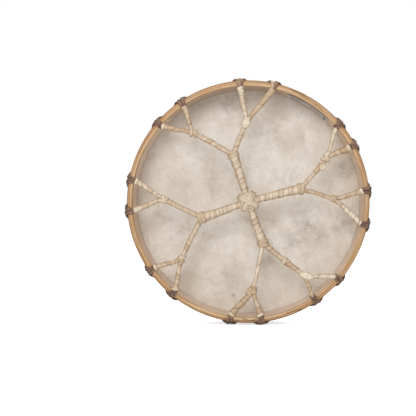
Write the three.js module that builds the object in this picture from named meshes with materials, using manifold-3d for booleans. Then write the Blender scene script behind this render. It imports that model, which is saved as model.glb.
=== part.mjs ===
// A frame drum: a rawhide head stretched over a shallow hoop of two bent plies, pulled tight from
// behind by a wrapped rawhide web that gathers into a hub used as the handle.
// Millimetres. The drum stands on its rim: +Z up, the head faces -Y and the laced back faces +Y.
// Everything is built lying down in the drum's own frame, with z running from the head to the back,
// x and y across the hoop as a person looking at the laced back sees them, and angles counted
// anticlockwise from x. The last lines turn that frame upright.
import * as THREE from "three";
import { mergeVertices } from "three/addons/utils/BufferGeometryUtils.js";
import Module from "manifold-3d";

// Overall sizes.
const drumDiameter = 400; // over the skin's skirt
const hoopDepth = 60;
const plyThickness = 4.5; // each of the two bent plies
const skinThickness = 1.0;
const fitGap = 0.3; // clearance between pieces that touch
const ringSteps = 60;
const crumb = 0.03; // the smallest step kept when solids have been joined or cut

// Hoop edges and joints.
const frontRoundDepth = 6; // how far back the bearing edge's outer roundover reaches
const crestInset = 1.6; // from the hoop's inner wall to the crest the head turns over
const backRoundDepth = 3; // height of the bullnose on the laced edge
const kerf = 0.45; // width of a scarf joint's glue line
const outerScarf = [51, 69]; // degrees
const innerScarf = [226, 246];
const stripSpan = [46, 69.3]; // degrees covered by the strip over the hoop's joint
const stripThickness = 1.5;
const stripWidth = 20;
const stripBack = 27; // from the strip's front edge to the head end of the hoop
const tackRadius = 2.2;

// Skin.
const hemShort = 22; // from the skirt's hem, between the ties, to the hoop's back edge
const flapShort = 7; // from the top of the flap at each tie to the hoop's back edge
const flapEdge = 0.9; // skin beside the slot in a flap
const flapFlare = 19; // how much wider a flap is where it leaves the hem
const slotSpare = 1.6; // how much bigger the slot is than the tie that comes out of it
const slotBelowTop = 8.5; // from a flap's top to the middle of its slot

// Lacing.
const tieWidth = 13;
const tieThickness = 2.4;
const tieSpread = 1.16; // the strands of a tie spread outside the rim and gather inside it
const tieGather = 0.74;
const webSink = 2; // how far the web's middle plane lies in front of the hoop's back edge
const cuffRadius = 6.3;
const cuffLength = 15;
const legRadius = 3.2;
const stemRadius = 3.9;
const wrapFlatness = 0.74; // thickness of a wrapped strand over its width
const ridgeHeight = 0.55; // the step from one turn of wrapping to the next
const turnPitch = 8.8;
const turnSlant = 0.42;
const lumpHeight = 1.5;
const lumpLength = 7;
const knotRadius = 4.6;
const crotchRadius = 5.8;
const legStub = 11;
const stemStub = 8.5;
const trunkHubRadius = 5.6;
const trunkEndRadius = 8.6;
const hubRadius = 17;
const hubHalfHeight = 8.2;
const bandWidth = 7;
const bandThickness = 2.1;

// Each pair of ties: their angles, and where their two legs meet, as an angle and a share of the
// drum's radius. One stem has a lump of lace part of the way along, one a ball knot at its side,
// and one crotch a side knot. The knots' places are across and along the piece they are tied to.
const pairs = [
  { ties: [94.1, 77.5], angle: 91, share: 0.662 },
  { ties: [40.3, 28.0], angle: 29.7, share: 0.748, ball: [-4.3, 8.8] },
  { ties: [5.3, -11.1], angle: 1.4, share: 0.715 },
  { ties: [-40.7, -55.8], angle: -52.8, share: 0.768, lump: 0.42 },
  { ties: [-83.8, -98.9], angle: -87.3, share: 0.738, knot: [-7, -1.5] },
  { ties: [-129.5, -145], angle: -139, share: 0.735 },
  { ties: [184.5, 169.5], angle: 178, share: 0.705 },
  { ties: [139, 124], angle: 129, share: 0.73 },
];
// Each trunk: where its two stems meet, and the pairs those stems come from.
const trunks = [
  { angle: 108, share: 0.4, from: [7, 0] },
  { angle: 13.6, share: 0.44, from: [1, 2] },
  { angle: -70.5, share: 0.36, from: [3, 4] },
  { angle: 199, share: 0.4, from: [5, 6] },
];
const tieStrands = [3, 2, 3, 3, 2, 3, 2, 3, 3, 2, 3, 3, 2, 3, 3, 2];

// Radii and levels that follow from the sizes above.
const skinRadius = drumDiameter / 2;
const skinInside = skinRadius - skinThickness;
const woodRadius = skinInside - fitGap;
const outerPlyInside = woodRadius - plyThickness;
const innerPlyOutside = outerPlyInside - fitGap;
const woodInside = innerPlyOutside - plyThickness;
const rimMiddle = (woodRadius + woodInside) / 2;
const rimHalf = (woodRadius - woodInside) / 2;
const crestRadius = woodInside + crestInset;
const frontLevel = -hoopDepth / 2;
const backLevel = hoopDepth / 2;
const webLevel = backLevel - webSink;
const headFace = frontLevel - fitGap - skinThickness;
const hemLevel = backLevel - hemShort;
const flapLevel = backLevel - flapShort;
const slotLevel = flapLevel - slotBelowTop;
const slotWidth = tieWidth * tieSpread + slotSpare;

const wasm = await Module();
wasm.setup();

const radians = (degrees) => (degrees * Math.PI) / 180;
const mix = (a, b, t) => a + (b - a) * t;
const polar = (radius, degrees) =>
  new THREE.Vector2(radius * Math.cos(radians(degrees)), radius * Math.sin(radians(degrees)));

// A three.js geometry, moved by a matrix, as a solid for the boolean tool.
function solidOf(geometry, matrix) {
  const bare = geometry.clone();
  bare.deleteAttribute("normal");
  bare.deleteAttribute("uv");
  if (matrix) bare.applyMatrix4(matrix);
  const merged = mergeVertices(bare, 1e-3);
  return new wasm.Manifold(
    new wasm.Mesh({
      numProp: 3,
      vertProperties: merged.attributes.position.array,
      triVerts: new Uint32Array(merged.index.array),
    }),
  );
}

function geometryOf(solid) {
  const made = solid.simplify(crumb).getMesh();
  const geometry = new THREE.BufferGeometry();
  geometry.setAttribute(
    "position",
    new THREE.BufferAttribute(new Float32Array(made.vertProperties), 3),
  );
  geometry.setIndex(new THREE.BufferAttribute(new Uint32Array(made.triVerts), 1));
  geometry.computeVertexNormals();
  return geometry;
}

// The geometry joined with the added solids and with the cutters taken away, without any crumb they
// cut off. Both lists are in the drum's frame, where the matrix puts the geometry, and the result is
// in the geometry's own frame.
function carved(geometry, matrix, cutters, added = []) {
  let solid = solidOf(geometry, matrix);
  for (const more of added) solid = solid.add(more);
  for (const cutter of cutters) solid = solid.subtract(cutter);
  const [largest] = solid.simplify(crumb).decompose().sort((a, b) => b.volume() - a.volume());
  return geometryOf(largest).applyMatrix4(matrix.clone().invert());
}

function ring(points) {
  const profile = [...points, points[0]].map(([r, z]) => new THREE.Vector2(r, z));
  return new THREE.LatheGeometry(profile, ringSteps).rotateX(Math.PI / 2);
}

// ---- Hoop ----------------------------------------------------------------------------------

// The height of the wood's front and back edges at a radius.
function woodFront(radius) {
  if (radius < crestRadius) {
    const t = (crestRadius - radius) / crestInset;
    return frontLevel + 0.9 * (1 - Math.sqrt(Math.max(0, 1 - t * t)));
  }
  const t = (radius - crestRadius) / (woodRadius - crestRadius);
  return frontLevel + frontRoundDepth * (1 - Math.sqrt(Math.max(0, 1 - t * t)));
}
function woodBack(radius) {
  const t = (radius - rimMiddle) / rimHalf;
  return backLevel - backRoundDepth * (1 - Math.sqrt(Math.max(0, 1 - t * t)));
}

// One ply: its front edge from inside to outside, then its back edge from outside to inside.
function plyRing(inside, outside, frontShares, backShares) {
  const front = frontShares.map((t) => mix(inside, outside, t)).map((r) => [r, woodFront(r)]);
  const back = backShares.map((t) => mix(inside, outside, t)).map((r) => [r, woodBack(r)]);
  return ring([...front, ...back.reverse()]);
}

// A slanting saw line right through a ply, from its outer face to its inner face.
function scarfLine(inside, outside, [from, to]) {
  const edge = (side) =>
    [0, 1, 2, 3, 4, 5, 6].map((i) =>
      polar(mix(outside + 0.9, inside - 0.9, i / 6) + side, mix(from, to, i / 6)),
    );
  const shape = new THREE.Shape([...edge(kerf / 2), ...edge(-kerf / 2).reverse()]);
  const line = new THREE.ExtrudeGeometry(shape, { depth: hoopDepth + 4, bevelEnabled: false });
  return line.translate(0, 0, -hoopDepth / 2 - 2);
}

const outerPly = solidOf(plyRing(outerPlyInside, woodRadius, [0, 0.5, 0.82, 1], [0, 0.6, 1]))
  .subtract(solidOf(scarfLine(outerPlyInside, woodRadius, outerScarf)));
const innerPly = solidOf(plyRing(woodInside, innerPlyOutside, [0, 0.36, 1], [0, 0.4, 1]))
  .subtract(solidOf(scarfLine(woodInside, innerPlyOutside, innerScarf)));

// The thin strip inside the hoop, over its joint, bent to the wall.
function jointStrip() {
  const outside = (woodInside - fitGap) / Math.cos(Math.PI / ringSteps) - 0.1;
  const shape = new THREE.Shape();
  const [from, to] = stripSpan.map(radians);
  shape.absarc(0, 0, outside - 0.35, from, to, false);
  shape.absarc(0, 0, outside - 0.35 - stripThickness, to, from, true);
  shape.closePath();
  const strip = new THREE.ExtrudeGeometry(shape, {
    depth: stripWidth,
    bevelEnabled: false,
    curveSegments: 6,
  });
  return strip.translate(0, 0, frontLevel + stripBack);
}

// ---- Skin ----------------------------------------------------------------------------------

// The skin's profile: across the head, round the bearing edge and down the hoop's side.
function skinProfile() {
  const centre = frontLevel + frontRoundDepth;
  const turn = (grow, t) => [
    crestRadius + (woodRadius - crestRadius + grow) * Math.sin(t),
    centre - (frontRoundDepth + grow) * Math.cos(t),
  ];
  const steps = [0, 0.24, 0.48, 0.74, 1].map((t) => (t * Math.PI) / 2);
  return [
    [0, headFace],
    ...steps.map((t) => turn(fitGap + skinThickness, t)),
    [skinRadius, hemLevel],
    [skinInside, hemLevel],
    ...steps.map((t) => turn(fitGap, t)).reverse(),
    [0, frontLevel - fitGap],
  ].map(([r, z]) => new THREE.Vector2(r, z));
}

// Turns a shape drawn as (along the rim, along z) so that it faces out at an angle round the rim.
function facing(degrees) {
  const out = polar(1, degrees);
  return new THREE.Matrix4().makeBasis(
    new THREE.Vector3(-out.y, out.x, 0),
    new THREE.Vector3(0, 0, 1),
    new THREE.Vector3(out.x, out.y, 0),
  );
}

// A flap that sweeps up out of the hem to a narrow top, as a block through the skirt.
function flapBlock(degrees) {
  const top = slotWidth + 2 * flapEdge;
  const side = [0, 0.4, 1].map((t) => [
    mix(top + flapFlare, top, 1 - (1 - t) ** 2) / 2,
    mix(hemLevel - 4, flapLevel, t),
  ]);
  const shape = new THREE.Shape(
    [...side, ...side.map(([x, y]) => [-x, y]).reverse()].map(([x, y]) => new THREE.Vector2(x, y)),
  );
  const block = new THREE.ExtrudeGeometry(shape, { depth: 20, bevelEnabled: false });
  return solidOf(block.translate(0, 0, skinRadius - 10), facing(degrees));
}

function slotBlock(degrees) {
  const block = new THREE.BoxGeometry(slotWidth, tieThickness + slotSpare, 20);
  return solidOf(block.translate(0, slotLevel, skinRadius), facing(degrees));
}

const tieAngles = pairs.flatMap((pair) => pair.ties);

function drumHead() {
  const low = hemLevel - 3;
  const high = flapLevel + 2;
  const upper = solidOf(
    ring([
      [skinInside, low],
      [skinRadius, low],
      [skinRadius, high],
      [skinInside, high],
    ]),
  );
  let flaps = flapBlock(tieAngles[0]);
  for (const degrees of tieAngles.slice(1)) flaps = flaps.add(flapBlock(degrees));
  const lathe = new THREE.LatheGeometry(skinProfile(), ringSteps).rotateX(Math.PI / 2);
  let skin = solidOf(lathe).add(upper.intersect(flaps));
  for (const degrees of tieAngles) skin = skin.subtract(slotBlock(degrees));
  return geometryOf(skin);
}

// ---- Rim ties ------------------------------------------------------------------------------

// A tie comes out of its slot in the skin, runs up the outside, turns over the back edge of the
// hoop and ends inside it. In its own frame x is outwards, y along the rim and z to the back.
function tiePath() {
  const clear = tieThickness / 2 + 1.4 * fitGap; // the path's chords cut inside its curve
  const outside = skinRadius + clear + 0.1;
  const over = (degrees) =>
    new THREE.Vector3(
      rimMiddle + (rimHalf + clear) * Math.cos(radians(degrees)),
      0,
      backLevel - backRoundDepth + (backRoundDepth + clear) * Math.sin(radians(degrees)),
    );
  return new THREE.CatmullRomCurve3(
    [
      new THREE.Vector3(woodRadius + 2 * fitGap + 0.3, 0, slotLevel - 0.3),
      new THREE.Vector3(outside - 0.5, 0, slotLevel + 0.6),
      new THREE.Vector3(outside + 0.2, 0, slotLevel + 3),
      new THREE.Vector3(outside, 0, flapLevel + 0.5),
      over(32),
      over(62),
      over(95),
      over(128),
      over(166),
    ],
    false,
    "centripetal",
  );
}

// The strands of a tie side by side: flat against the hoop and ridged on the outside.
function tieSection(strands, grow) {
  const half = tieWidth / 2 + grow;
  const thick = tieThickness / 2 + grow;
  const strand = tieWidth / strands;
  const points = [
    [-half, -thick],
    [half, -thick],
  ];
  if (grow > 0) points.push([half, 0.25 * thick]);
  for (let i = strands - 1; i >= 0; i -= 1) {
    points.push([(i + 0.5) * strand - tieWidth / 2, thick]);
    if (i > 0 && grow === 0) points.push([i * strand - tieWidth / 2, 0.1 * thick]);
  }
  if (grow > 0) points.push([-half, 0.25 * thick]);
  return new THREE.Shape(points.map(([x, y]) => new THREE.Vector2(x, y)));
}

function tieGeometry(strands, grow = 0) {
  const tie = new THREE.ExtrudeGeometry(tieSection(strands, grow), {
    steps: 9,
    bevelEnabled: false,
    extrudePath: tiePath(),
  });
  const place = tie.attributes.position;
  const reach = skinRadius - woodInside;
  for (let i = 0; i < place.count; i += 1) {
    const share = Math.min(1, Math.max(0, (place.getX(i) - woodInside) / reach));
    place.setY(i, place.getY(i) * mix(tieGather, tieSpread, share));
  }
  return tie;
}

// ---- Wrapped strands -----------------------------------------------------------------------

// A strand wrapped round and round, as a body of revolution along y with a step at each turn.
// radiusAt gives the radius along the strand, from 0 to 1. Both ends come to a point on the axis.
function wrappedStrand({ length, radiusAt, sides = 6, dome = [0, 0], grow = 0, pitch = turnPitch }) {
  const turns = Math.max(2, Math.round(length / pitch));
  const points = [[0, -dome[0] - grow]];
  if (dome[0] > 0) points.push([0.68 * radiusAt(0) + grow, -0.7 * dome[0] - grow]);
  if (grow > 0) {
    for (let i = 0; i <= 4; i += 1) {
      points.push([radiusAt(i / 4) + ridgeHeight + grow, (i / 4) * length]);
    }
  } else {
    for (let i = 0; i < turns; i += 1) {
      points.push([radiusAt(i / turns) + ridgeHeight, (i / turns) * length]);
      points.push([radiusAt((i + 1) / turns), ((i + 0.9) / turns) * length]);
    }
    points.push([radiusAt(1), length]);
  }
  if (dome[1] > 0) points.push([0.68 * radiusAt(1) + grow, length + 0.7 * dome[1] + grow]);
  points.push([0, length + dome[1] + grow]);
  const strand = new THREE.LatheGeometry(
    points.map(([r, y]) => new THREE.Vector2(r, y)),
    sides,
  );
  strand.scale(1, 1, wrapFlatness);
  if (grow === 0) {
    // The turns slant across the strand, but its ends stay square.
    const place = strand.attributes.position;
    for (let i = 0; i < place.count; i += 1) {
      const y = place.getY(i);
      const ease = Math.min(1, Math.max(0, Math.min(y, length - y) / turnPitch));
      place.setY(i, y + turnSlant * ease * place.getX(i));
    }
  }
  return strand;
}

// A strand's place: it starts at one point of the web and its axis runs towards another.
function along(start, end) {
  const turn = Math.atan2(end.y - start.y, end.x - start.x) - Math.PI / 2;
  return new THREE.Matrix4()
    .makeTranslation(start.x, start.y, webLevel)
    .multiply(new THREE.Matrix4().makeRotationZ(turn));
}

function towards(start, end, distance) {
  return start.clone().add(end.clone().sub(start).setLength(distance));
}

// ---- Materials and meshes ------------------------------------------------------------------

function paint(colour, roughness) {
  return new THREE.MeshStandardMaterial({ color: colour, roughness, metalness: 0 });
}

function piece(name, geometry, colour, roughness, parent) {
  const mesh = new THREE.Mesh(geometry, paint(colour, roughness));
  mesh.name = name;
  parent.add(mesh);
  return mesh;
}

// A mesh whose geometry is in its own frame, put in place by a matrix.
function placedPiece(name, geometry, matrix, colour, roughness, parent) {
  const mesh = piece(name, geometry, colour, roughness, parent);
  matrix.decompose(mesh.position, mesh.quaternion, mesh.scale);
  return mesh;
}

const woodColour = 0xc9a074;
const hideColour = 0xcfc2ad;
const darkHideColour = 0x5a463a;
const laceColour = 0xdccdb0;
const stripColour = 0x9a9894;
const tackColour = 0x3c3530;

const assembly = new THREE.Group();
assembly.name = "assembly";
const hoop = new THREE.Group();
hoop.name = "hoop";
const lacing = new THREE.Group();
lacing.name = "lacing";
assembly.add(hoop, lacing);

piece("hoop_outer_ply", geometryOf(outerPly), woodColour, 0.6, hoop);
piece("hoop_inner_ply", geometryOf(innerPly), woodColour, 0.62, hoop);
piece("drum_head", drumHead(), hideColour, 0.7, assembly);

// The strip over the joint, and the tack through its end into the wood.
const tackAngle = stripSpan[0] + 1.6;
const tackLevel = frontLevel + stripBack + stripWidth / 2;
const stripFace = woodInside - 0.75 - stripThickness;
const tackTurn = facing(tackAngle).multiply(new THREE.Matrix4().makeTranslation(0, tackLevel, 0));
const tackProfile = [
  [0, -3.4],
  [0.6, -2.6],
  [0.6, 0],
  [tackRadius, 0],
  [tackRadius * 0.7, 0.7],
  [0, 0.95],
].map(([r, y]) => new THREE.Vector2(r, y));
const tackOut = stripFace - 0.5;
const tackPlace = tackTurn.clone().multiply(
  new THREE.Matrix4().makeTranslation(0, 0, tackOut).multiply(
    new THREE.Matrix4().makeRotationX(-Math.PI / 2),
  ),
);
const tackHole = (depth) =>
  solidOf(
    new THREE.CylinderGeometry(0.9, 0.9, depth, 10).rotateX(Math.PI / 2).translate(0, 0, tackOut),
    tackTurn,
  );
piece(
  "joint_strip",
  geometryOf(solidOf(jointStrip()).subtract(tackHole(12))),
  stripColour,
  0.45,
  hoop,
);
hoop.getObjectByName("hoop_inner_ply").geometry = geometryOf(innerPly.subtract(tackHole(9)));
placedPiece("strip_tack", new THREE.LatheGeometry(tackProfile, 10), tackPlace, tackColour, 0.5, hoop);

// Rim ties.
tieAngles.forEach((degrees, i) => {
  const turn = new THREE.Matrix4().makeRotationZ(radians(degrees));
  const name = `rim_tie_${String(i + 1).padStart(2, "0")}`;
  placedPiece(name, tieGeometry(tieStrands[i]), turn, darkHideColour, 0.6, lacing);
});

// Where the web's strands meet, in the plane of the web.
const hub = new THREE.Vector2(0, 0);
const crotches = pairs.map((pair) => polar(skinRadius * pair.share, pair.angle));
const forks = trunks.map((trunk) => polar(skinRadius * trunk.share, trunk.angle));
const forkOf = pairs.map((pair, i) => forks[trunks.findIndex((trunk) => trunk.from.includes(i))]);

// What a leg's cuff has to clear: the hoop's inner wall.
const wallCutter = solidOf(
  ring([
    [woodInside - fitGap, -hoopDepth],
    [skinRadius + 40, -hoopDepth],
    [skinRadius + 40, hoopDepth],
    [woodInside - fitGap, hoopDepth],
  ]),
);

// The socket in a cuff that takes the inner end of its tie: a block along the end of the tie's path.
function tieSocket(turn) {
  const path = tiePath();
  const end = path.getPoint(1);
  const run = path.getTangent(1);
  const length = 3 + fitGap;
  const wide = tieWidth * mix(tieGather, tieSpread, 0.1) + 2 * fitGap;
  const block = new THREE.BoxGeometry(length, wide, tieThickness + 2.4 * fitGap);
  block.translate(fitGap - length / 2, 0, 0).rotateY(-Math.atan2(run.z, run.x));
  return solidOf(block.translate(end.x, 0, end.z), turn);
}

// Legs run from the rim to the crotches. They flare into a cuff round the end of their tie.
tieAngles.forEach((degrees, i) => {
  const crotch = crotches[Math.floor(i / 2)];
  const start = polar(woodInside + 3, degrees);
  const length = start.distanceTo(crotch) - legStub - fitGap;
  const place = along(start, crotch);
  const radiusAt = (t) => {
    const run = Math.min(1, (t * length) / cuffLength);
    const flare = mix(cuffRadius, legRadius, run ** 0.75);
    return flare + (run === 1 ? 0.35 * Math.sin(Math.PI * t) : 0);
  };
  const leg = wrappedStrand({ length, radiusAt });
  const turn = new THREE.Matrix4().makeRotationZ(radians(degrees));
  const tie = solidOf(tieGeometry(tieStrands[i], fitGap), turn).add(tieSocket(turn));
  const name = `web_leg_${String(i + 1).padStart(2, "0")}`;
  placedPiece(name, carved(leg, place, [wallCutter, tie]), place, laceColour, 0.6, lacing);
});

// Crotches: where two legs come together and go on as one stem.
function stub(centre, end, length, radius) {
  const bar = new THREE.CylinderGeometry(radius, radius * 1.12, length, 6);
  bar.translate(0, length / 2, 0).scale(1, 1, wrapFlatness);
  const turn = Math.atan2(end.y - centre.y, end.x - centre.x) - Math.PI / 2;
  return solidOf(bar, new THREE.Matrix4().makeRotationZ(turn));
}
pairs.forEach((pair, i) => {
  const centre = crotches[i];
  const ball = new THREE.SphereGeometry(crotchRadius, 8, 5).scale(1, 1, wrapFlatness + 0.06);
  let body = solidOf(ball);
  for (const degrees of pair.ties) {
    body = body.add(stub(centre, polar(woodInside + 3, degrees), legStub, legRadius + 0.45));
  }
  body = body.add(stub(centre, forkOf[i], stemStub, stemRadius + 0.45));
  if (pair.knot) {
    const knot = new THREE.SphereGeometry(knotRadius, 10, 6).scale(1, 1.25, wrapFlatness);
    body = body.add(solidOf(knot.translate(pair.knot[0], pair.knot[1], 0.6)));
  }
  const mesh = piece(`web_crotch_${i + 1}`, geometryOf(body), laceColour, 0.6, lacing);
  mesh.position.set(centre.x, centre.y, webLevel);
});

// Trunks run out from the hub, widening to the fork that takes two stems.
const trunkShape = (length) => ({
  length,
  sides: 7,
  pitch: turnPitch * 1.2,
  dome: [0, 8],
  radiusAt: (t) => mix(trunkHubRadius, trunkEndRadius, t ** 1.4),
});
const hubCore = () =>
  new THREE.SphereGeometry(1, 14, 8).scale(hubRadius, hubRadius, hubHalfHeight);
const hubCutter = solidOf(
  new THREE.SphereGeometry(1, 14, 8).scale(
    hubRadius + fitGap + 0.1,
    hubRadius + fitGap + 0.1,
    hubHalfHeight + fitGap + 0.1,
  ),
  new THREE.Matrix4().makeTranslation(0, 0, webLevel),
);
const trunkCutters = [];
trunks.forEach((trunk, i) => {
  const start = polar(hubRadius * 0.55, trunk.angle);
  const length = forks[i].distanceTo(start);
  const place = along(start, forks[i]);
  const body = carved(wrappedStrand(trunkShape(length)), place, [hubCutter]);
  placedPiece(`web_trunk_${i + 1}`, body, place, laceColour, 0.58, lacing);
  trunkCutters.push(solidOf(wrappedStrand({ ...trunkShape(length), grow: fitGap }), place));
});

// Stems run from the crotches to the forks, where each ends against the trunk and its neighbour.
const stemCutters = [];
pairs.forEach((pair, i) => {
  const fork = forkOf[i];
  const start = towards(crotches[i], fork, stemStub + fitGap);
  const length = start.distanceTo(fork) - 3;
  const place = along(start, fork);
  const radiusAt = (t) => {
    const lump = pair.lump ? Math.exp(-((((t - pair.lump) * length) / lumpLength) ** 2)) : 0;
    return stemRadius + 0.4 * t + 0.3 * Math.sin(3 * Math.PI * t) + lumpHeight * lump;
  };
  const knots = [];
  if (pair.ball) {
    const knot = new THREE.SphereGeometry(knotRadius, 10, 6);
    knots.push(solidOf(knot.translate(pair.ball[0], pair.ball[1], 0.4), place));
  }
  const strand = wrappedStrand({ length, radiusAt });
  const body = carved(strand, place, [...trunkCutters, ...stemCutters], knots);
  placedPiece(`web_stem_${i + 1}`, body, place, laceColour, 0.6, lacing);
  stemCutters.push(solidOf(wrappedStrand({ length, radiusAt, grow: fitGap }), place));
});

// The hub: a core of turned lace, and two bands bound crosswise round it between the trunks.
piece("hub_core", hubCore(), laceColour, 0.6, lacing).position.set(0, 0, webLevel);

function bandLoop(degrees, shift, extra) {
  const across = hubRadius + fitGap + 0.25;
  const up = hubHalfHeight + fitGap + 0.25;
  const thick = bandThickness + extra;
  const shape = new THREE.Shape();
  shape.absellipse(0, 0, across + thick, up + thick, 0, 2 * Math.PI, false);
  const hole = new THREE.Path();
  hole.absellipse(0, 0, across, up, 0, 2 * Math.PI, true);
  shape.holes.push(hole);
  const loop = new THREE.ExtrudeGeometry(shape, {
    depth: bandWidth / 2 + 0.15,
    bevelEnabled: false,
    curveSegments: 6,
  });
  // Drawn as (along the band, towards the back), the loop is turned to lie across the web.
  loop.translate(0, 0, shift);
  const run = polar(1, degrees);
  return solidOf(
    loop,
    new THREE.Matrix4().makeBasis(
      new THREE.Vector3(run.x, run.y, 0),
      new THREE.Vector3(0, 0, 1),
      new THREE.Vector3(run.y, -run.x, 0),
    ),
  );
}
const hubLift = new THREE.Matrix4().makeTranslation(0, 0, -webLevel);
let binding = bandLoop(61, -bandWidth / 2, 0).add(bandLoop(61, -0.15, 0.5));
binding = binding.add(bandLoop(152, -bandWidth / 2, 0.7)).add(bandLoop(152, -0.15, 0.2));
for (const cutter of trunkCutters) {
  binding = binding.subtract(solidOf(geometryOf(cutter), hubLift));
}
piece("hub_binding", geometryOf(binding), laceColour, 0.62, lacing)
  .position.set(0, 0, webLevel);

// ---- Upright -------------------------------------------------------------------------------

// The middle of the drum's whole depth, from the head's face to the back of the hub.
const hubBack = webLevel + hubHalfHeight + fitGap + 0.25 + bandThickness + 0.7;
assembly.rotation.x = Math.PI / 2;
assembly.position.y = (headFace + hubBack) / 2;
const group = new THREE.Group();
group.name = "frame_drum";
group.rotation.z = Math.PI;
group.add(assembly);

export default group;
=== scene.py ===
import math

import bpy
import numpy as np
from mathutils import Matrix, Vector


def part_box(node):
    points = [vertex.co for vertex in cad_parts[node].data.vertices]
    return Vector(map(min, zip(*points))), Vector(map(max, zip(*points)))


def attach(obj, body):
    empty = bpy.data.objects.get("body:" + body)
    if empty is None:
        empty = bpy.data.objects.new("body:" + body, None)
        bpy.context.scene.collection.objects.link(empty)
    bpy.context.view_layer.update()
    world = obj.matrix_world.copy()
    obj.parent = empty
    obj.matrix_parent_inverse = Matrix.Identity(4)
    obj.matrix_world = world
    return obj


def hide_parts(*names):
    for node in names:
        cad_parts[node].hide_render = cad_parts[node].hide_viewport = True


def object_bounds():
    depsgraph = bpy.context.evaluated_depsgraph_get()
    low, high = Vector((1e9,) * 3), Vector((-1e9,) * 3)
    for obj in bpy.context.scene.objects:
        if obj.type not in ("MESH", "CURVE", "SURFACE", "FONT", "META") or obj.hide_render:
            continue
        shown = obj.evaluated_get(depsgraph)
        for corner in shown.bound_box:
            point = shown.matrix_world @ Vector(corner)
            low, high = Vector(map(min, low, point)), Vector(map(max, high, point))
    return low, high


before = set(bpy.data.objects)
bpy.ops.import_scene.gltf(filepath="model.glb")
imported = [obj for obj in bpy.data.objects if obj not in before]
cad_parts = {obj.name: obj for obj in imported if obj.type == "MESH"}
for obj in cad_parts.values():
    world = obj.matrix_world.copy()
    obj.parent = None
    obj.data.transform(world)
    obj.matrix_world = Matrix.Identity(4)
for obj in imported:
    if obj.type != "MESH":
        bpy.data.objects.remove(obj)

bl_info = {
    "name": "Frame drum",
    "version": (1, 0, 0),
    "blender": (4, 5, 0),
    "location": "View3D > Sidebar > Frame Drum",
    "description": "Builds a hide-headed frame drum with a wrapped lacing web behind its head",
    "category": "Add Mesh",
}

CAD_BOX = [list(corner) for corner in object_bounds()]

# Lengths are worked out in millimetres in the drum's own frame: x and y run across the hoop as a
# player looking at the laced back sees them, z runs from the head to the back, and angles turn
# anticlockwise from x. The frame says where that drum stands and how big it is.
_hoop_low, _hoop_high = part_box("hoop_outer_ply")
_skin_low, _skin_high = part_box("drum_head")
HOOP_CENTRE = [(a + b) / 2 for a, b in zip(_hoop_low, _hoop_high)]
WOOD_OUT = 500 * (_hoop_high[0] - _hoop_low[0])
SKIN_OUT = 500 * (_skin_high[0] - _skin_low[0])
BACK = 500 * (_hoop_high[1] - _hoop_low[1])
FRONT = -BACK
WEB = 1000 * (sum(corner[1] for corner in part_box("hub_core")) / 2 - HOOP_CENTRE[1])

# Each pair of ties: their angles, and where their two legs meet, as an angle and a share of the
# drum's radius.
PAIRS = [
    ((94.1, 77.5), 91.0, 0.662),
    ((40.3, 28.0), 29.7, 0.748),
    ((5.3, -11.1), 1.4, 0.715),
    ((-40.7, -55.8), -52.8, 0.768),
    ((-83.8, -98.9), -87.3, 0.738),
    ((-129.5, -145.0), -139.0, 0.735),
    ((184.5, 169.5), 178.0, 0.705),
    ((139.0, 124.0), 129.0, 0.73),
]
# Each trunk: where its two stems meet, and which pairs they come from.
TRUNKS = [
    (108.0, 0.4, (7, 0)),
    (13.6, 0.44, (1, 2)),
    (-70.5, 0.36, (3, 4)),
    (199.0, 0.4, (5, 6)),
]
TIE_ANGLES = [angle for pair in PAIRS for angle in pair[0]]
TIE_STRANDS = [3, 2, 3, 3, 2, 3, 2, 3, 3, 2, 3, 3, 2, 3, 3, 2]
PLY_GAP = 0.3
CREST_IN = 1.6  # from the hoop's inner wall to the crest of its head end
SHOULDER = 6  # height of the round outside that crest
SLOT_BELOW = 8.5  # from a flap's end to its slot
LEG_STUB = 11.0
STEM_STUB = 8.5
HUB_RADIUS = 17.0
HUB_HALF = 8.2
UP = np.array([0.0, 0.0, 1.0])


# ---- Small maths ---------------------------------------------------------------------------


def polar(radius, degrees):
    """The point at a radius and an angle in the plane of the web."""
    return np.array([radius * math.cos(math.radians(degrees)), radius * math.sin(math.radians(degrees)), WEB])


def round_hoop(radius, degrees, height):
    """Points from grids of their radius, angle and height."""
    turn = np.radians(degrees)
    return np.stack(np.broadcast_arrays(radius * np.cos(turn), radius * np.sin(turn), height), axis=-1)


def once_round(count):
    """That many angles once round, in radians."""
    return np.linspace(0, 2 * np.pi, count, endpoint=False)


def wander(t, seed, cycles):
    """A smooth wandering value from -1 to 1: the mean of sines with those cycles per unit of t, each
    started at its own seeded point."""
    starts = np.random.default_rng(seed).random(len(cycles))
    return sum(np.sin(2 * np.pi * (c * t + s)) for c, s in zip(cycles, starts)) / len(cycles)


def mix(a, b, t):
    """From a to b as t goes from 0 to 1."""
    return a + (b - a) * t


def held(value):
    """The value, held between 0 and 1."""
    return np.clip(value, 0, 1)


def ease(t):
    """From 0 to 1 with no corner at either end."""
    t = held(t)
    return t * t * (3 - 2 * t)


def apart(angle, other):
    """How far apart two angles are, in degrees, the short way round, with a sign."""
    return (angle - other + 180) % 360 - 180


def hump(t, width):
    """A bell curve: 1 at 0, and falling over the width."""
    return np.exp(-((t / width) ** 2))


def pressed(value, power):
    """The value's size to a power, with its sign."""
    return np.sign(value) * np.abs(value) ** power


def level(run):
    """A run made level and one long, and the level direction beside it."""
    run = np.array([run[0], run[1], 0.0]) / math.hypot(run[0], run[1])
    return run, np.cross(run, UP)


def between(start, end):
    """The direction from one point to another and the level direction beside it."""
    run = (end - start) / np.linalg.norm(end - start)
    return run, np.cross(run, UP)


def run_length(path):
    """The distance gone at each point of a path."""
    return np.concatenate([[0], np.cumsum(np.linalg.norm(np.diff(path, axis=0), axis=1))])


def step_from(start, end, distance):
    """The point that far from the start towards the end."""
    return start + (end - start) * (distance / np.linalg.norm(end - start))


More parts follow.
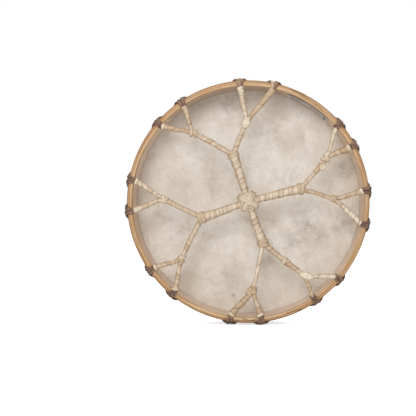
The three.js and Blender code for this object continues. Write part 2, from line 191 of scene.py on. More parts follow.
def upright(points):
    """Drum's frame in millimetres to the row frame in metres: x is turned about, z becomes depth and
    y becomes height."""
    x, y, z = points[..., 0], points[..., 1], points[..., 2]
    return np.stack(
        [HOOP_CENTRE[0] - x / 1000, HOOP_CENTRE[1] + z / 1000, HOOP_CENTRE[2] + y / 1000], axis=-1
    )


# ---- Shells and meshes ---------------------------------------------------------------------


def shell(points, uv, looped=False, **marks):
    """A closed skin over a grid of points, stations along by places round: a quad between each four
    neighbours, and a fan to the middle of each end, unless the last station joins the first. uv has
    one more column than the grid, and one more row if looped, so that no face spans its seam."""
    stations, around, _ = points.shape
    index = np.arange(stations * around).reshape(stations, around)
    beside = np.roll(index, -1, axis=1)
    rows = stations if looped else stations - 1
    ahead, ahead_beside = np.roll(index, -1, axis=0), np.roll(beside, -1, axis=0)
    quads = np.stack([index, beside, ahead_beside, ahead], axis=-1)[:rows].reshape(-1, 4)
    quad_uv = np.stack([uv[:-1, :-1], uv[:-1, 1:], uv[1:, 1:], uv[1:, :-1]], axis=2).reshape(-1, 4, 2)
    corners = points.reshape(-1, 3)
    values = {k: np.broadcast_to(v, (stations, around)).reshape(-1) for k, v in marks.items()}
    tris, tri_uv = np.zeros((0, 3), int), np.zeros((0, 3, 2))
    if not looped:
        corners = np.vstack([corners, points[0].mean(axis=0), points[-1].mean(axis=0)])
        ends = ((beside[0], index[0], len(corners) - 2), (index[-1], beside[-1], len(corners) - 1))
        tris = np.vstack([np.stack([a, b, np.full(around, middle)], axis=-1) for a, b, middle in ends])
        rims = ((uv[0, 1:], uv[0, :-1]), (uv[-1, :-1], uv[-1, 1:]))
        tri_uv = np.vstack([np.stack([a, b, (a + b) / 2], axis=1) for a, b in rims])
        values = {
            k: np.concatenate([v, [v[index[0]].mean(), v[index[-1]].mean()]]) for k, v in values.items()
        }
    split = np.vstack([quads[:, [0, 1, 2]], quads[:, [0, 2, 3]], tris])
    a, b, c = (corners[split[:, k]] for k in range(3))
    if np.einsum("ij,ij->i", a, np.cross(b, c)).sum() < 0:
        quads, quad_uv, tris, tri_uv = (part[:, ::-1] for part in (quads, quad_uv, tris, tri_uv))
    return {
        "corners": corners, "quads": quads, "tris": tris, "quad_uv": quad_uv, "tri_uv": tri_uv, "marks": values,
    }


def piece(name, shells, node, slot):
    """One mesh object of closed shells, in place in the row frame, that stands for its CAD node."""
    corners = upright(np.vstack([s["corners"] for s in shells]))
    starts = np.cumsum([0] + [len(s["corners"]) for s in shells[:-1]])
    quads, tris = (np.vstack([s[kind] + k for s, k in zip(shells, starts)]) for kind in ("quads", "tris"))
    uv = np.concatenate([s[kind].reshape(-1) for kind in ("quad_uv", "tri_uv") for s in shells])
    mesh = bpy.data.meshes.new(name)
    mesh.vertices.add(len(corners))
    mesh.vertices.foreach_set("co", corners.ravel())
    mesh.loops.add(quads.size + tris.size)
    mesh.loops.foreach_set("vertex_index", np.concatenate([quads.ravel(), tris.ravel()]).astype(np.int32))
    mesh.polygons.add(len(quads) + len(tris))
    loop_start = np.concatenate([np.arange(len(quads)) * 4, quads.size + np.arange(len(tris)) * 3])
    mesh.polygons.foreach_set("loop_start", loop_start.astype(np.int32))
    mesh.polygons.foreach_set("use_smooth", np.ones(len(loop_start), bool))
    mesh.update(calc_edges=True)
    mesh.uv_layers.new(name="UVMap").data.foreach_set("uv", uv / 1000)
    for mark in sorted({k for s in shells for k in s["marks"]}):
        value = np.concatenate([s["marks"].get(mark, np.zeros(len(s["corners"]))) for s in shells])
        mesh.attributes.new(mark, "FLOAT", "POINT").data.foreach_set("value", value.astype(np.float32))
    if mesh.validate():
        raise RuntimeError(f"{name}: the mesh had faces that had to be mended")
    made = bpy.data.objects.new(name, mesh)
    made.data.materials.append(slot_material(slot))
    bpy.context.scene.collection.objects.link(made)
    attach(made, "root")
    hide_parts(node)
    return made


def pieces(name, node, slot, groups):
    """Numbered pieces of one kind, each from its own shells."""
    for number, shells in enumerate(groups, 1):
        piece(name.format(number), shells, node.format(number), slot)


def length_grid(along, around):
    """A UV grid in millimetres from the distances along and round a surface."""
    return np.stack(np.broadcast_arrays(along[:, None], around[None, :]), axis=-1)


def wound(path, radius_at, seed, pitch=7.0, flat=0.78, ridge=0.6, hand=1, tint=0.4, dome=(1.5, 1.5), around=36,
          line=0.5):
    """A strand wrapped round with one long band of lace, as a closed shell.

    Round the path the section is an ellipse of half-width radius_at(distance) and thickness flat
    times that. The band's own coordinate is the distance over the pitch plus the share of a turn.
    Its fraction gives the step from each turn to the next: up steeply at the band's edge, then
    down in a slope. What is left when it is taken away runs along the band, and gives each turn
    its own height and colour. Creases along the strand are a sine of the angle that wanders with
    the distance. The ends close in a quarter ellipse."""
    gone = run_length(path)
    s = np.linspace(0, gone[-1], max(16, int(round(gone[-1] / 0.5))))
    axis = np.stack([np.interp(s, gone, path[:, k]) for k in range(3)], axis=-1)
    run = np.gradient(axis, axis=0)
    run /= np.linalg.norm(run, axis=1)[:, None]
    side = np.cross(run, UP)
    side /= np.linalg.norm(side, axis=1)[:, None]
    up = np.cross(side, run)
    phi = once_round(around)

    def slow(t, offset, cycles):
        return wander(t, seed + offset, cycles)[:, None]

    turn = hand * phi / (2 * np.pi)
    slack = 0.34 * slow(s / pitch, 0, (0.31, 0.47, 0.13))
    lean = 0.12 * np.sin(phi + seed) * slow(s / pitch, 1, (0.4, 0.7))
    q = s[:, None] / pitch + turn + slack + lean
    f = q - np.floor(q)
    own = wander(np.floor(q) - turn, seed + 7, (0.23, 0.41, 0.57))
    step = (1 - np.exp(-f * pitch / 0.5)) * (1 - 0.72 * f)
    fold = 0.14 * np.sin(3 * phi + 2.2 * slow(s / 40, 9, (0.6, 1.1)) + seed)
    fold = fold + 0.07 * np.sin(8 * phi + 3 * slow(s / 22, 11, (0.7, 1.3)))
    radius = radius_at(s)[:, None] + ridge * step * (1 + 0.4 * own) + 0.22 * own + fold
    radius = radius * (1 + 0.03 * slow(s / 9, 3, (0.5, 0.9)))
    first, last = held(s / dome[0]), held((gone[-1] - s) / dome[1])
    close = np.sqrt(1 - (1 - first) ** 2) * np.sqrt(1 - (1 - last) ** 2)
    radius = radius * np.maximum(close, 0.04)[:, None]
    points = (
        axis[:, None]
        + side[:, None] * (radius * np.cos(phi))[..., None]
        + up[:, None] * (flat * radius * np.sin(phi))[..., None]
    )
    # painted shade: brown lines in the grooves between the turns, where each turn's edge steps up
    groove = (hump(f * pitch, 0.55) + hump((1 - f) * pitch, 1.0)) * (line * (0.75 + 0.5 * own))
    # the last term is painted shade in the creases along the strand; the rest is each turn's tone
    shade = tint + 0.28 * own + 0.12 * wander(q, seed + 5, (2.3, 3.1)) + 0.3 * (0.22 * held(-fold / 0.15))
    # darker along the strand's two sides
    side_darkening = np.abs(np.cos(phi)) ** 2.6 * (0.8 + 0.2 * slow(s / 15, 13, (0.7, 1.2)))
    uv = length_grid(s, np.linspace(0, 2 * np.pi * float(np.mean(radius)), around + 1))
    return shell(points, uv, groove=held(groove), tint=held(shade), side=held(side_darkening))


def band(centre, run, half_wide, half_thick, width, thick, seed, lean=0.0, tint=0.4, steps=56, line=0.5):
    """A band of lace bound round a strand, as a closed shell.

    It follows an ellipse across the run of the strand, leaning along it by lean times the sideways
    distance, with a flattened section: width along the strand and thick across it."""
    run, side = level(run)
    a, b = once_round(steps)[:, None], once_round(12)[None, :]
    once = a / (2 * np.pi)
    loose = 0.12 * wander(once, seed, (1, 2, 3))
    reach = 1 + (thick / 2) * np.sin(b) / np.hypot(half_wide * np.cos(a), half_thick * np.sin(a))
    across = half_wide * np.cos(a) * reach
    deep = half_thick * np.sin(a) * reach
    half = width / 2 * (1 + 0.12 * wander(once, seed + 1, (1, 2, 4)))
    forward = pressed(np.cos(b), 0.7) * half + lean * half_wide * np.cos(a) + loose
    out = run * forward[..., None]
    points = np.asarray(centre, float) + out + side * across[..., None] + UP * deep[..., None]
    round_length = np.linspace(0, 2 * np.pi * (half_wide + half_thick) / 2, steps + 1)
    uv = length_grid(round_length, np.linspace(0, 2 * (width + thick), 13))
    shade = tint + 0.2 * wander(once, seed + 2, (1, 3))
    # painted shade: darker along the band's edges, where it meets the strand
    return shell(points, uv, looped=True, groove=line * np.abs(np.cos(b)) ** 6, tint=held(shade),
                 side=np.abs(np.cos(a)) ** 5 * 0.8)


def patch(centre, run, half, seed, tint=0.0, loose=0.1):
    """A smooth piece of hide laid over a crotch: a flattened rounded cushion, half its length, width
    and thickness, whose rim wanders and whose top is creased by a slow sine."""
    run, side = level(run)
    lat, phi = np.linspace(0.04, np.pi - 0.04, 40)[:, None], once_round(64)[None, :]
    rim = 1 + loose * wander(phi / (2 * np.pi), seed, (2, 3, 5))
    wide = np.sin(lat) ** 0.8
    crease = 0.12 * np.sin(2.5 * wide * np.cos(phi) * half[0] / 3 + seed)
    points = (
        np.asarray(centre, float)
        + run * (half[0] * wide * np.cos(phi) * rim)[..., None]
        + side * (half[1] * wide * np.sin(phi) * rim)[..., None]
        + UP * (half[2] * pressed(np.cos(lat), 0.75) * (1 + crease))[..., None]
    )
    uv = length_grid(np.linspace(0, 2 * half[0], 40), np.linspace(0, 6 * half[1], 65))
    # painted shade: darker round the patch's rim, where it meets the strand
    return shell(points, uv, groove=0.3 * wide**12, tint=held(tint + 1.2 * crease), side=0.7 * wide**10)


def knot(centre, radius, seed, stretch=(1, 1, 0.85), tint=0.5):
    """A small knot: a ball whose surface is drawn up into a lace's crossing turns. Two sets of
    ridges, each the size of a sine of the slanting height, take turns to lie on top."""
    lat, phi = np.linspace(0.05, np.pi - 0.05, 26)[:, None], once_round(40)[None, :]
    one = np.abs(np.sin(2.2 * lat + phi + seed))
    two = np.abs(np.sin(1.4 * lat - phi + seed))
    rise = np.maximum(one**0.5, two**0.5 * 0.9)
    r = radius * (0.86 + 0.16 * rise)
    points = np.stack(np.broadcast_arrays(
        r * np.sin(lat) * np.cos(phi) * stretch[0], r * np.sin(lat) * np.sin(phi) * stretch[1],
        r * np.cos(lat) * stretch[2],
    ), axis=-1) + centre
    uv = length_grid(np.linspace(0, 3 * radius, 26), np.linspace(0, 6 * radius, 41))
    # painted shade: darker in the low parts between the knot's ridges
    return shell(points, uv, groove=np.clip(1.2 * (1 - rise), 0, 0.7), tint=held(tint + 0.2 * (one - two)),
                 side=0.7 * np.sin(lat) ** 8)


def bow(start, end, amount, seed):
    """A nearly straight path that bows sideways by amount in a half sine and wanders a little."""
    t = np.linspace(0, 1, 40)[:, None]
    run = end - start
    shift = amount * np.sin(np.pi * t) + 0.25 * wander(t, seed, (1, 2)) * np.sin(np.pi * t)
    return start + run * t + level(run)[1] * shift


# ---- Nodes ---------------------------------------------------------------------------------


def wire(tree, node, values):
    """Sets a node's inputs by name or number, or links them where the value is another's output."""
    for key, value in values.items():
        if hasattr(value, "is_output"):
            tree.links.new(value, node.inputs[key])
        else:
            node.inputs[key].default_value = value


def add(tree, kind, values=None, **settings):
    """A node of that kind, with its settings by name, then its inputs."""
    made = tree.nodes.new(kind)
    for key, value in settings.items():
        setattr(made, key, value)
    wire(tree, made, values or {})
    return made


def noise(tree, place, scale, detail, rough, twist=0.0):
    """The value of a noise texture."""
    return add(tree, "ShaderNodeTexNoise", {
        "Vector": place, "Scale": scale, "Detail": detail, "Roughness": rough, "Distortion": twist,
    }).outputs["Fac"]


def streaks(tree, along, across, detail):
    """Streaks that run along a surface, from a noise stretched along the UV map's first direction."""
    uv = add(tree, "ShaderNodeTexCoord").outputs["UV"]
    scale = add(tree, "ShaderNodeCombineXYZ", {0: along, 1: across, 2: 1.0}).outputs[0]
    spread = add(tree, "ShaderNodeVectorMath", {0: uv, 1: scale}, operation="MULTIPLY").outputs[0]
    return noise(tree, spread, 0.35, 3.0, 0.6), noise(tree, spread, 1.0, detail, 0.65, 0.3)


def mottle(tree, blotch, speck, cut):
    """Soft blotches, small specks and fine grain from Object coordinates, each from 0 to 1."""
    place = add(tree, "ShaderNodeTexCoord").outputs["Object"]
    past = add(tree, "ShaderNodeMath", {0: noise(tree, place, speck, 2.0, 0.5), 1: cut}, operation="SUBTRACT")
    sharp = add(tree, "ShaderNodeMath", {0: past.outputs[0], 1: 12.0}, operation="MULTIPLY", use_clamp=True)
    return noise(tree, place, blotch, 5.0, 0.55, 0.6), sharp.outputs[0], noise(tree, place, 900.0, 3.0, 0.6)


# Each shared group of nodes: its inputs with their defaults, its outputs and what fills it.
GROUPS = {
    "long_streaks": ({"Along": 40.0, "Across": 900.0, "Detail": 6.0}, ("Streak", "Fine"), streaks),
    "blotch_and_speck": (
        {"Blotch Scale": 18.0, "Speck Scale": 260.0, "Speck Cut": 0.63}, ("Blotch", "Speck", "Grain"), mottle,
    ),
}


def shared_group(name):
    """The named shader node group, built the first time that it is asked for."""
    tree = bpy.data.node_groups.get(name)
    if not tree:
        inputs, outputs, fill = GROUPS[name]
        tree = bpy.data.node_groups.new(name, "ShaderNodeTree")
        for label, default in inputs.items():
            socket = tree.interface.new_socket(name=label, in_out="INPUT", socket_type="NodeSocketFloat")
            socket.default_value = default
        for label in outputs:
            tree.interface.new_socket(name=label, in_out="OUTPUT", socket_type="NodeSocketFloat")
        given = add(tree, "NodeGroupInput").outputs
        made = fill(tree, *(given[label] for label in inputs))
        add(tree, "NodeGroupOutput", dict(zip(outputs, made)))
    return tree


class Look:
    """A material while it is made: what its masks are, which colours they lay on, then its shader."""

    def __init__(self, name):
        self.made = bpy.data.materials.new(name)
        self.made.use_nodes = True
        self.tree = self.made.node_tree
        self.tree.nodes.clear()
        self.shader = add(self.tree, "ShaderNodeBsdfPrincipled")
        add(self.tree, "ShaderNodeOutputMaterial", {0: self.shader.outputs[0]})

    def group(self, name, *values):
        """A shared group's outputs, with its inputs set in their order."""
        made = add(self.tree, "ShaderNodeGroup", node_tree=shared_group(name))
        wire(self.tree, made, dict(zip(GROUPS[name][0], values)))
        return made.outputs

    def mark(self, name):
        """A value painted on the piece's points."""
        made = add(self.tree, "ShaderNodeAttribute", attribute_name=name, attribute_type="GEOMETRY")
        return made.outputs["Fac"]

    def remap(self, value, low, high, top=1.0, bottom=0.0):
        """From bottom to top as the value goes from low to high, with no corner at either end."""
        return add(self.tree, "ShaderNodeMapRange", {
            "Value": value, "From Min": low, "From Max": high, "To Min": bottom, "To Max": top,
        }, interpolation_type="SMOOTHSTEP").outputs[0]

    def times(self, a, b):
        """One mask by another or by a number."""
        return add(self.tree, "ShaderNodeMath", {0: a, 1: b}, operation="MULTIPLY").outputs[0]

    def layers(self, base, *over, kind="MIX"):
        """A colour with others laid over it in order, each by its mask."""
        for mask, tint in over:
            a, b = (c if hasattr(c, "is_output") else (*c, 1.0) for c in (base, tint))
            base = add(self.tree, "ShaderNodeMix", {0: mask, 6: a, 7: b},
                       data_type="RGBA", blend_type=kind, clamp_factor=True).outputs[2]
        return base

    def done(self, base, rough, relief, **constants):
        """The material: its colour, its roughness from a mask's low end to its high end, and the
        height, strength and distance of its relief."""
        mask, smooth, dull = rough
        height, strength, distance = relief
        bump = add(self.tree, "ShaderNodeBump", {"Strength": strength, "Distance": distance, "Height": height})
        wire(self.tree, self.shader, {
            "Base Color": base,
            "Roughness": self.remap(mask, 0.3, 0.7, dull, smooth),
            "Normal": bump.outputs[0],
            **{key.replace("_", " "): value for key, value in constants.items()},
        })
        return self.made


def wood_material(m, look):
    """Bent hardwood: long grain round the hoop, worn pale on the rounded edge and brown outside it, with a
    painted highlight along that edge and at its inner rim, and painted shade over the top of the inner wall.
    """
    grain, pores = m.group("long_streaks", 9.0, 620.0, 8.0), m.group("long_streaks", 60.0, 2400.0, 3.0)
    blotch = m.group("blotch_and_speck", 22.0, 420.0, 0.66)["Blotch"]
    base = m.layers(
        look.wood_brown,
        # worn pale wood, and the painted highlight at the inner rim
        (m.mark("pale"), look.wood_pale_and_highlight),
        # painted highlight on the rounded edge
        (m.mark("shine"), look.wood_highlight),
        (m.remap(grain["Streak"], 0.42, 0.66, 0.6), look.wood_grain),
        (m.remap(grain["Fine"], 0.48, 0.7, 0.6), look.wood_grain),
        (m.remap(pores["Fine"], 0.58, 0.72, 0.5), look.wood_dark),
        (m.remap(blotch, 0.5, 0.75, 0.22), look.wood_grain),
        (m.times(m.mark("wall"), 0.92), look.wood_wall),
        # bands, and painted shade over the top of the inner wall
        (m.mark("bands"), look.wood_band_and_shade),
        (m.mark("crack"), look.wood_dark),
    )
    return m.done(base, (grain["Fine"], 0.42, 0.6), (grain["Fine"], 0.35, 0.0004), Specular_IOR_Level=0.35)


def hide_material(m, look):
    """Rawhide: mottled cream, smudged on its face, browned and translucent-looking where it is bent, with
    painted shade inside at the top, towards the bottom of the face, on the shoulder round the bearing edge and
    in the slots.
    """
    broad, drift, close, fine = (m.group("blotch_and_speck", *sizes) for sizes in (
        (13.0, 330.0, 0.6), (26.0, 90.0, 0.7), (60.0, 150.0, 0.66), (240.0, 560.0, 0.58),
    ))
    bare = m.remap(m.mark("face"), 0.0, 1.0, 0.35, 1.0)
    patchy = m.remap(close["Blotch"], 0.25, 0.7, 1.1, 0.45)
    hairy = m.times(patchy, m.remap(fine["Blotch"], 0.36, 0.64, 1.1, 0.75))
    base = m.layers(
        look.hide_cream,
        (m.remap(broad["Blotch"], 0.38, 0.66, 0.6), look.hide_tan),
        (m.times(m.remap(drift["Blotch"], 0.42, 0.82, 0.62), bare), look.hide_cloud),
        (m.times(m.remap(close["Blotch"], 0.42, 0.82, 0.45), bare), look.hide_cloud),
        (m.remap(fine["Blotch"], 0.46, 0.68, 0.4), look.hide_tan),
        (m.remap(fine["Grain"], 0.55, 0.75, 0.3), look.hide_smudge_and_shade),
        (m.times(broad["Speck"], 0.14), look.hide_speck),
        (m.times(close["Speck"], 0.1), look.hide_speck),
        (m.times(drift["Speck"], 0.12), look.hide_speck),
        (m.times(fine["Speck"], 0.2), look.hide_speck),
    )
    base = m.layers(base, (m.mark("face"), look.hide_face), kind="MULTIPLY")
    base = m.layers(
        base,
        # smudges, and painted shade inside at the top and towards the bottom of the face
        (m.times(m.mark("smudge"), hairy), look.hide_smudge_and_shade),
        (m.times(m.mark("rust"), patchy), look.hide_rust),
        # the skirt's hide, and the painted shade on the shoulder
        (m.times(m.mark("skirt"), m.remap(close["Blotch"], 0.3, 0.65, 1.0, 0.7)), look.hide_skirt_and_shade),
        # dark flaps, and the painted shade in the slots
        (m.mark("flap"), look.hide_flap_and_shade),
    )
    return m.done(base, (close["Blotch"], 0.5, 0.68), (close["Grain"], 0.25, 0.0004), Specular_IOR_Level=0.35)


def lace_material(m, look):
    """Rawhide lace wound round itself: cream to tan from turn to turn, with brown painted shade in the grooves
    between the turns, and darker along the strands' sides.
    """
    fine = m.group("long_streaks", 420.0, 160.0, 5.0)["Fine"]
    spots = m.group("blotch_and_speck", 85.0, 520.0, 0.64)
    base = m.layers(
        look.lace_cream,
        (m.mark("tint"), look.lace_tan),
        (m.remap(spots["Blotch"], 0.46, 0.7, 0.4), look.lace_tan),
        (m.remap(fine, 0.5, 0.75, 0.2), look.lace_brown_and_shade),
        (m.times(spots["Speck"], 0.2), look.lace_brown_and_shade),
        # darker along the strands' sides
        (m.times(m.mark("side"), m.remap(spots["Blotch"], 0.3, 0.6, 1.0, 0.7)), look.lace_edge),
        # painted shade in the grooves between the turns
        (m.mark("groove"), look.lace_brown_and_shade),
    )
    return m.done(base, (spots["Blotch"], 0.45, 0.62), (fine, 0.4, 0.0005), Specular_IOR_Level=0.4)


def tie_material(m, look):
    """Dark, hard-dried lace: brown, with paler ridges over the edge that are partly worn and partly a painted
    highlight, and near black painted shade between the strands and down the hoop's outside.
    """
    fine = m.group("long_streaks", 110.0, 700.0, 5.0)["Fine"]
    blotch = m.group("blotch_and_speck", 120.0, 600.0, 0.64)["Blotch"]
    base = m.layers(
        look.tie_brown,
        # the tie's tone, and the painted highlight on the strands' tops
        (m.mark("tint"), look.tie_rubbed_and_highlight),
        (m.remap(blotch, 0.44, 0.7, 0.6), look.tie_dark_and_shade),
        (m.mark("pale"), look.tie_bare),
        (m.remap(fine, 0.52, 0.74, 0.45), look.tie_dark_and_shade),
        # painted shade between the strands and down the outside
        (m.mark("groove"), look.tie_dark_and_shade),
    )
    return m.done(base, (blotch, 0.38, 0.6), (fine, 0.45, 0.0005))


def strip_material(m, look):
    """A thin grey metal strip, brushed along its length, dulled and stained in patches."""
    fine = m.group("long_streaks", 30.0, 2600.0, 6.0)["Fine"]
    spots = m.group("blotch_and_speck", 70.0, 500.0, 0.62)
    base = m.layers(
        look.strip_grey,
        (m.remap(spots["Blotch"], 0.4, 0.68, 0.8), look.strip_dull),
        (m.remap(fine, 0.45, 0.7, 0.4), look.strip_bright),
        (m.times(spots["Speck"], 0.4), look.wood_dark),
        (m.mark("tip"), look.strip_bright),
    )
    return m.done(base, (spots["Blotch"], 0.35, 0.6), (fine, 0.25, 0.0003), Metallic=0.25)


def tack_material(m, look):
    """A blackened nail head with rubbed, rusty patches."""
    spots = m.group("blotch_and_speck", 320.0, 900.0, 0.6)
    base = m.layers(
        look.tack_black,
        (m.remap(spots["Blotch"], 0.45, 0.65), look.tack_rust),
        (m.times(spots["Speck"], 0.5), look.strip_grey),
    )
    return m.done(base, (spots["Blotch"], 0.35, 0.65), (spots["Grain"], 0.4, 0.0003), Metallic=0.6)


# Each slot's material: its name and what makes it.
MATERIALS = {
    "wood": ("bent_hardwood", wood_material),
    "strip": ("dulled_grey_metal", strip_material),
    "tack": ("blackened_iron", tack_material),
    "hide": ("mottled_rawhide", hide_material),
    "tie_lace": ("dark_dried_lace", tie_material),
    "web_lace": ("wound_lace", lace_material),
}


def slot_material(slot):
    """A slot's material, made the first time that it is asked for."""
    name, maker = MATERIALS[slot]
    return bpy.data.materials.get(name) or maker(Look(name), bpy.context.scene.drum_colours)


# ---- Hoop ----------------------------------------------------------------------------------


def wall_radius(hoop):
    """Radius of the inner ply's inner face."""
    return WOOD_OUT - 2 * hoop.ply_thickness - PLY_GAP


def wood_front(hoop, radius):
    """Height of the hoop's head end at a radius: a quarter ellipse outside the crest, a small round
    inside it."""
    crest = wall_radius(hoop) + CREST_IN
    out = np.sqrt(np.maximum(0, 1 - (np.maximum(radius - crest, 0) / (WOOD_OUT - crest)) ** 2))
    back = np.sqrt(np.maximum(0, 1 - (np.maximum(crest - radius, 0) / CREST_IN) ** 2))
    return FRONT + np.where(radius > crest, SHOULDER * (1 - out), 0.9 * (1 - back))


def wood_back(hoop, radius):
    """Height of the laced edge at a radius: half an ellipse over both plies."""
    half = hoop.ply_thickness + 0.15
    t = np.clip((radius - (WOOD_OUT - half)) / half, -1, 1)
    return BACK - hoop.edge_round * (1 - np.sqrt(1 - t * t))


def ply_shell(hoop, inside, outside, scarf):
    """One bent ply as a bar that tapers to a slanting scarf at each end, where it meets itself.

    The angle runs from the scarf's start once round to the scarf's end. The inside radius starts at
    the outside and falls to its own over the scarf; the outside radius falls to the inside over the
    last stretch. The section goes up the outer face, over the edge, down the inner face and back."""
    start, stop = scarf
    angle = np.linspace(start, 360 + stop, 760)
    rising = held((angle - start) / (stop - start))
    falling = held((angle - 360 - start) / (stop - start))
    low = mix(outside, inside, rising) + np.where(rising < 1, 0.15, 0) - np.where(rising < 0.04, 0.25, 0)
    high = mix(outside, inside, falling) - np.where(falling > 0, 0.15, 0)
    high = np.maximum(high, low + 0.12)
    ripple = 0.22 * wander(angle / 360, 11, (5, 9, 14, 23))
    low = low + np.where(low < outside - 1.0, ripple, 0) * (1 if inside < WOOD_OUT - 6 else 0)
    low, high = low[:, None], high[:, None]
    up = np.linspace(0, 1, 10)[None, :]
    over = (1 - np.cos(np.linspace(0, np.pi, 30)))[None, :] / 2
    down = 1 - (np.linspace(0, 1, 26)[None, :]) ** 1.15
    under = (1 - np.cos(np.linspace(0, np.pi, 9)))[None, 1:-1] / 2
    edge, head_end = mix(high, low, over), mix(low, high, under)
    section = np.concatenate([np.stack(np.broadcast_arrays(*part), -1) for part in (
        (high, mix(wood_front(hoop, high), wood_back(hoop, high), up[:, :-1])),
        (edge, wood_back(hoop, edge)),
        (low, mix(wood_front(hoop, low), wood_back(hoop, low), down[:, 1:])),
        (head_end, wood_front(hoop, head_end)),
    )], axis=1)
    radius, height = section[..., 0], section[..., 1]
    points = round_hoop(radius, angle[:, None], height)
    gap = np.linalg.norm(np.diff(section, axis=1, append=section[:, :1]), axis=-1).mean(axis=0)
    uv = length_grid(np.radians(angle) * outside, np.concatenate([[0], np.cumsum(gap)]))
    return shell(points, uv, **wood_marks(hoop, angle[:, None] % 360, radius, height))


# Dark bands in the inner wall: depth from the laced edge as a share of the hoop's, width, strength.
WALL_BANDS = ((0.1, 0.045, 0.7), (0.3, 0.055, 0.6), (0.52, 0.05, 0.75), (0.75, 0.06, 0.6), (0.95, 0.03, 0.9))
# Cracks in the laced edge: angle, reach, share of the way from the inner wall out, slope and width.
CRACKS = (
    (60, 10, 0.55, 0.02, 0.035), (57, 8, 0.3, 0.012, 0.025), (66, 5, 0.75, -0.02, 0.03),
    (-89, 4.5, 0.5, 0.05, 0.06), (-86, 3, 0.3, -0.08, 0.05), (-67, 5, 0.55, 0.05, 0.055),
    (-63, 3, 0.75, -0.04, 0.04), (205, 7, 0.6, 0.01, 0.03), (262, 5, 0.62, 0.015, 0.03),
)


def wood_marks(hoop, angle, radius, height):
    """Where the wood is pale, banded or cracked, where a highlight is painted and where painted shade darkens
    the top of the inner wall, by angle, radius and height.
    """

    def slow(seed, cycles):
        return wander(angle / 360, seed, cycles)

    inside = wall_radius(hoop)
    share = (radius - inside) / (WOOD_OUT - inside)
    on_edge = ease((height - (BACK - hoop.edge_round - 0.6)) / 1.2)
    worn = 0.08 * slow(21, (3, 7, 11, 19, 31))
    pale = on_edge * (1 - ease((share + worn - 0.66) / 0.24))
    # painted highlight: a bright band round the rounded laced edge, a little inside its crest
    shine = on_edge * hump(share + worn - 0.34, 0.24) * (0.62 + 0.38 * slow(22, (4, 9, 15)))
    deep = (BACK - height) / (2 * BACK)
    wall = (1 - on_edge) * ease((inside + 1.5 - radius) / 1.0)
    ring = sum(a * hump(deep - c - 0.012 * slow(30 + k, (2, 5)), w) for k, (c, w, a) in enumerate(WALL_BANDS))
    strong = 0.55 + 0.45 * hump(apart(angle, -42), 60) - 0.3 * held(np.cos(np.radians(angle)))
    bands = wall * ring * strong * (0.75 + 0.25 * slow(41, (3, 8, 13)))
    pale = held(pale + wall * 0.5)
    crack = np.zeros(np.broadcast(angle, radius).shape)
    for where, reach, at, slope, wide in CRACKS:
        d = apart(angle, where)
        line = at + slope * d + 0.05 * wander(d / 10, int(where) + 400, (1, 2.3, 4.1))
        crack = np.maximum(crack, on_edge * hump(share - line, wide) * ease((reach - np.abs(d)) / 1.5))
    crack = np.maximum(crack, on_edge * hump(share - 0.5, 0.022) * 0.75)
    # darker along the outer rim of the laced edge, in the cracks' colour
    crack = np.maximum(crack, 0.7 * on_edge * ease((share + 0.5 * worn - 0.9) / 0.07))
    # painted highlight: a pale line along the inner rim of the laced edge
    pale = held(pale + on_edge * hump(share - 0.03, 0.05))
    wall = wall * (0.85 + 0.15 * slow(43, (2, 5, 9)))
    # painted shade: the inner wall darker towards its top, where it faces down
    bands = np.maximum(bands, wall * 0.7 * ease((radius * np.sin(np.radians(angle)) - 90) / 90))
    marks = {"wall": wall, "pale": pale, "shine": shine, "bands": bands, "crack": crack}
    return {name: held(mark) for name, mark in marks.items()}


STRIP_HALF = 0.75
# The tack's outline, from the point of its shank to the top of its head: radius and height.
TACK_OUTLINE = np.array([
    [0.05, -3.2], [0.35, -2.6], [0.6, -2.0], [0.6, 0], [1.6, -0.02], [2.1, 0.1],
    [2.2, 0.35], [1.9, 0.7], [1.4, 0.92], [0.8, 1.03], [0.3, 1.07], [0.04, 1.07],
])


def turned_by(turn, out, along, height):
    """Points made outwards and along the rim at angle 0, turned round the drum."""
    return np.stack([
        out * math.cos(turn) - along * math.sin(turn), out * math.sin(turn) + along * math.cos(turn), height,
    ], axis=-1)


def strip_shell(hoop):
    """The thin strip over the inner ply's face: an arc of flat section with rounded rims, whose ends
    curl off the wood a little."""
    start, stop = hoop.strip_from, hoop.strip_to
    inside = wall_radius(hoop)
    low, high = (1000 * (corner[1] - HOOP_CENTRE[1]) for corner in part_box("joint_strip"))
    angle = np.linspace(start, stop, 130)
    a = once_round(44)
    height = (low + high) / 2 + (high - low) / 2 * pressed(np.cos(a), 0.35)
    off = STRIP_HALF * pressed(np.sin(a), 0.6)
    ends = np.minimum(np.abs(angle - start), np.abs(stop - angle))
    lift = 0.5 * hump(ends, 1.2) + 0.12 * wander(angle / 10, 51, (1, 2, 5))
    radius = inside - 0.35 - STRIP_HALF - lift[:, None] + off[None, :] - 0.12
    uv = length_grid(np.radians(angle) * inside, np.linspace(0, 2 * (high - low), 45))
    return shell(round_hoop(radius, angle[:, None], height), uv, tip=0.8 * hump(ends, 0.9)[:, None])


def tack_shell(hoop):
    """The nail: a shank and a low dome with a hammered, slightly uneven rim, turned about its own line."""
    inside = wall_radius(hoop)
    low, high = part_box("strip_tack")
    height = 500 * (low[1] + high[1]) - 1000 * HOOP_CENTRE[1]
    angle = math.radians(hoop.strip_from + 1.6)
    a = once_round(28)
    uneven = 1 + 0.06 * wander(a / (2 * np.pi), 61, (2, 3, 5))
    r = TACK_OUTLINE[:, :1] * uneven[None, :]
    out = inside - 0.75 - 1.5 - 0.5 - TACK_OUTLINE[:, 1:] + 0 * r
    points = turned_by(angle, out, r * np.cos(a), height + r * np.sin(a))
    return shell(points, length_grid(np.arange(12) * 0.8, np.linspace(0, 8, 29)))


# ---- Skin ----------------------------------------------------------------------------------

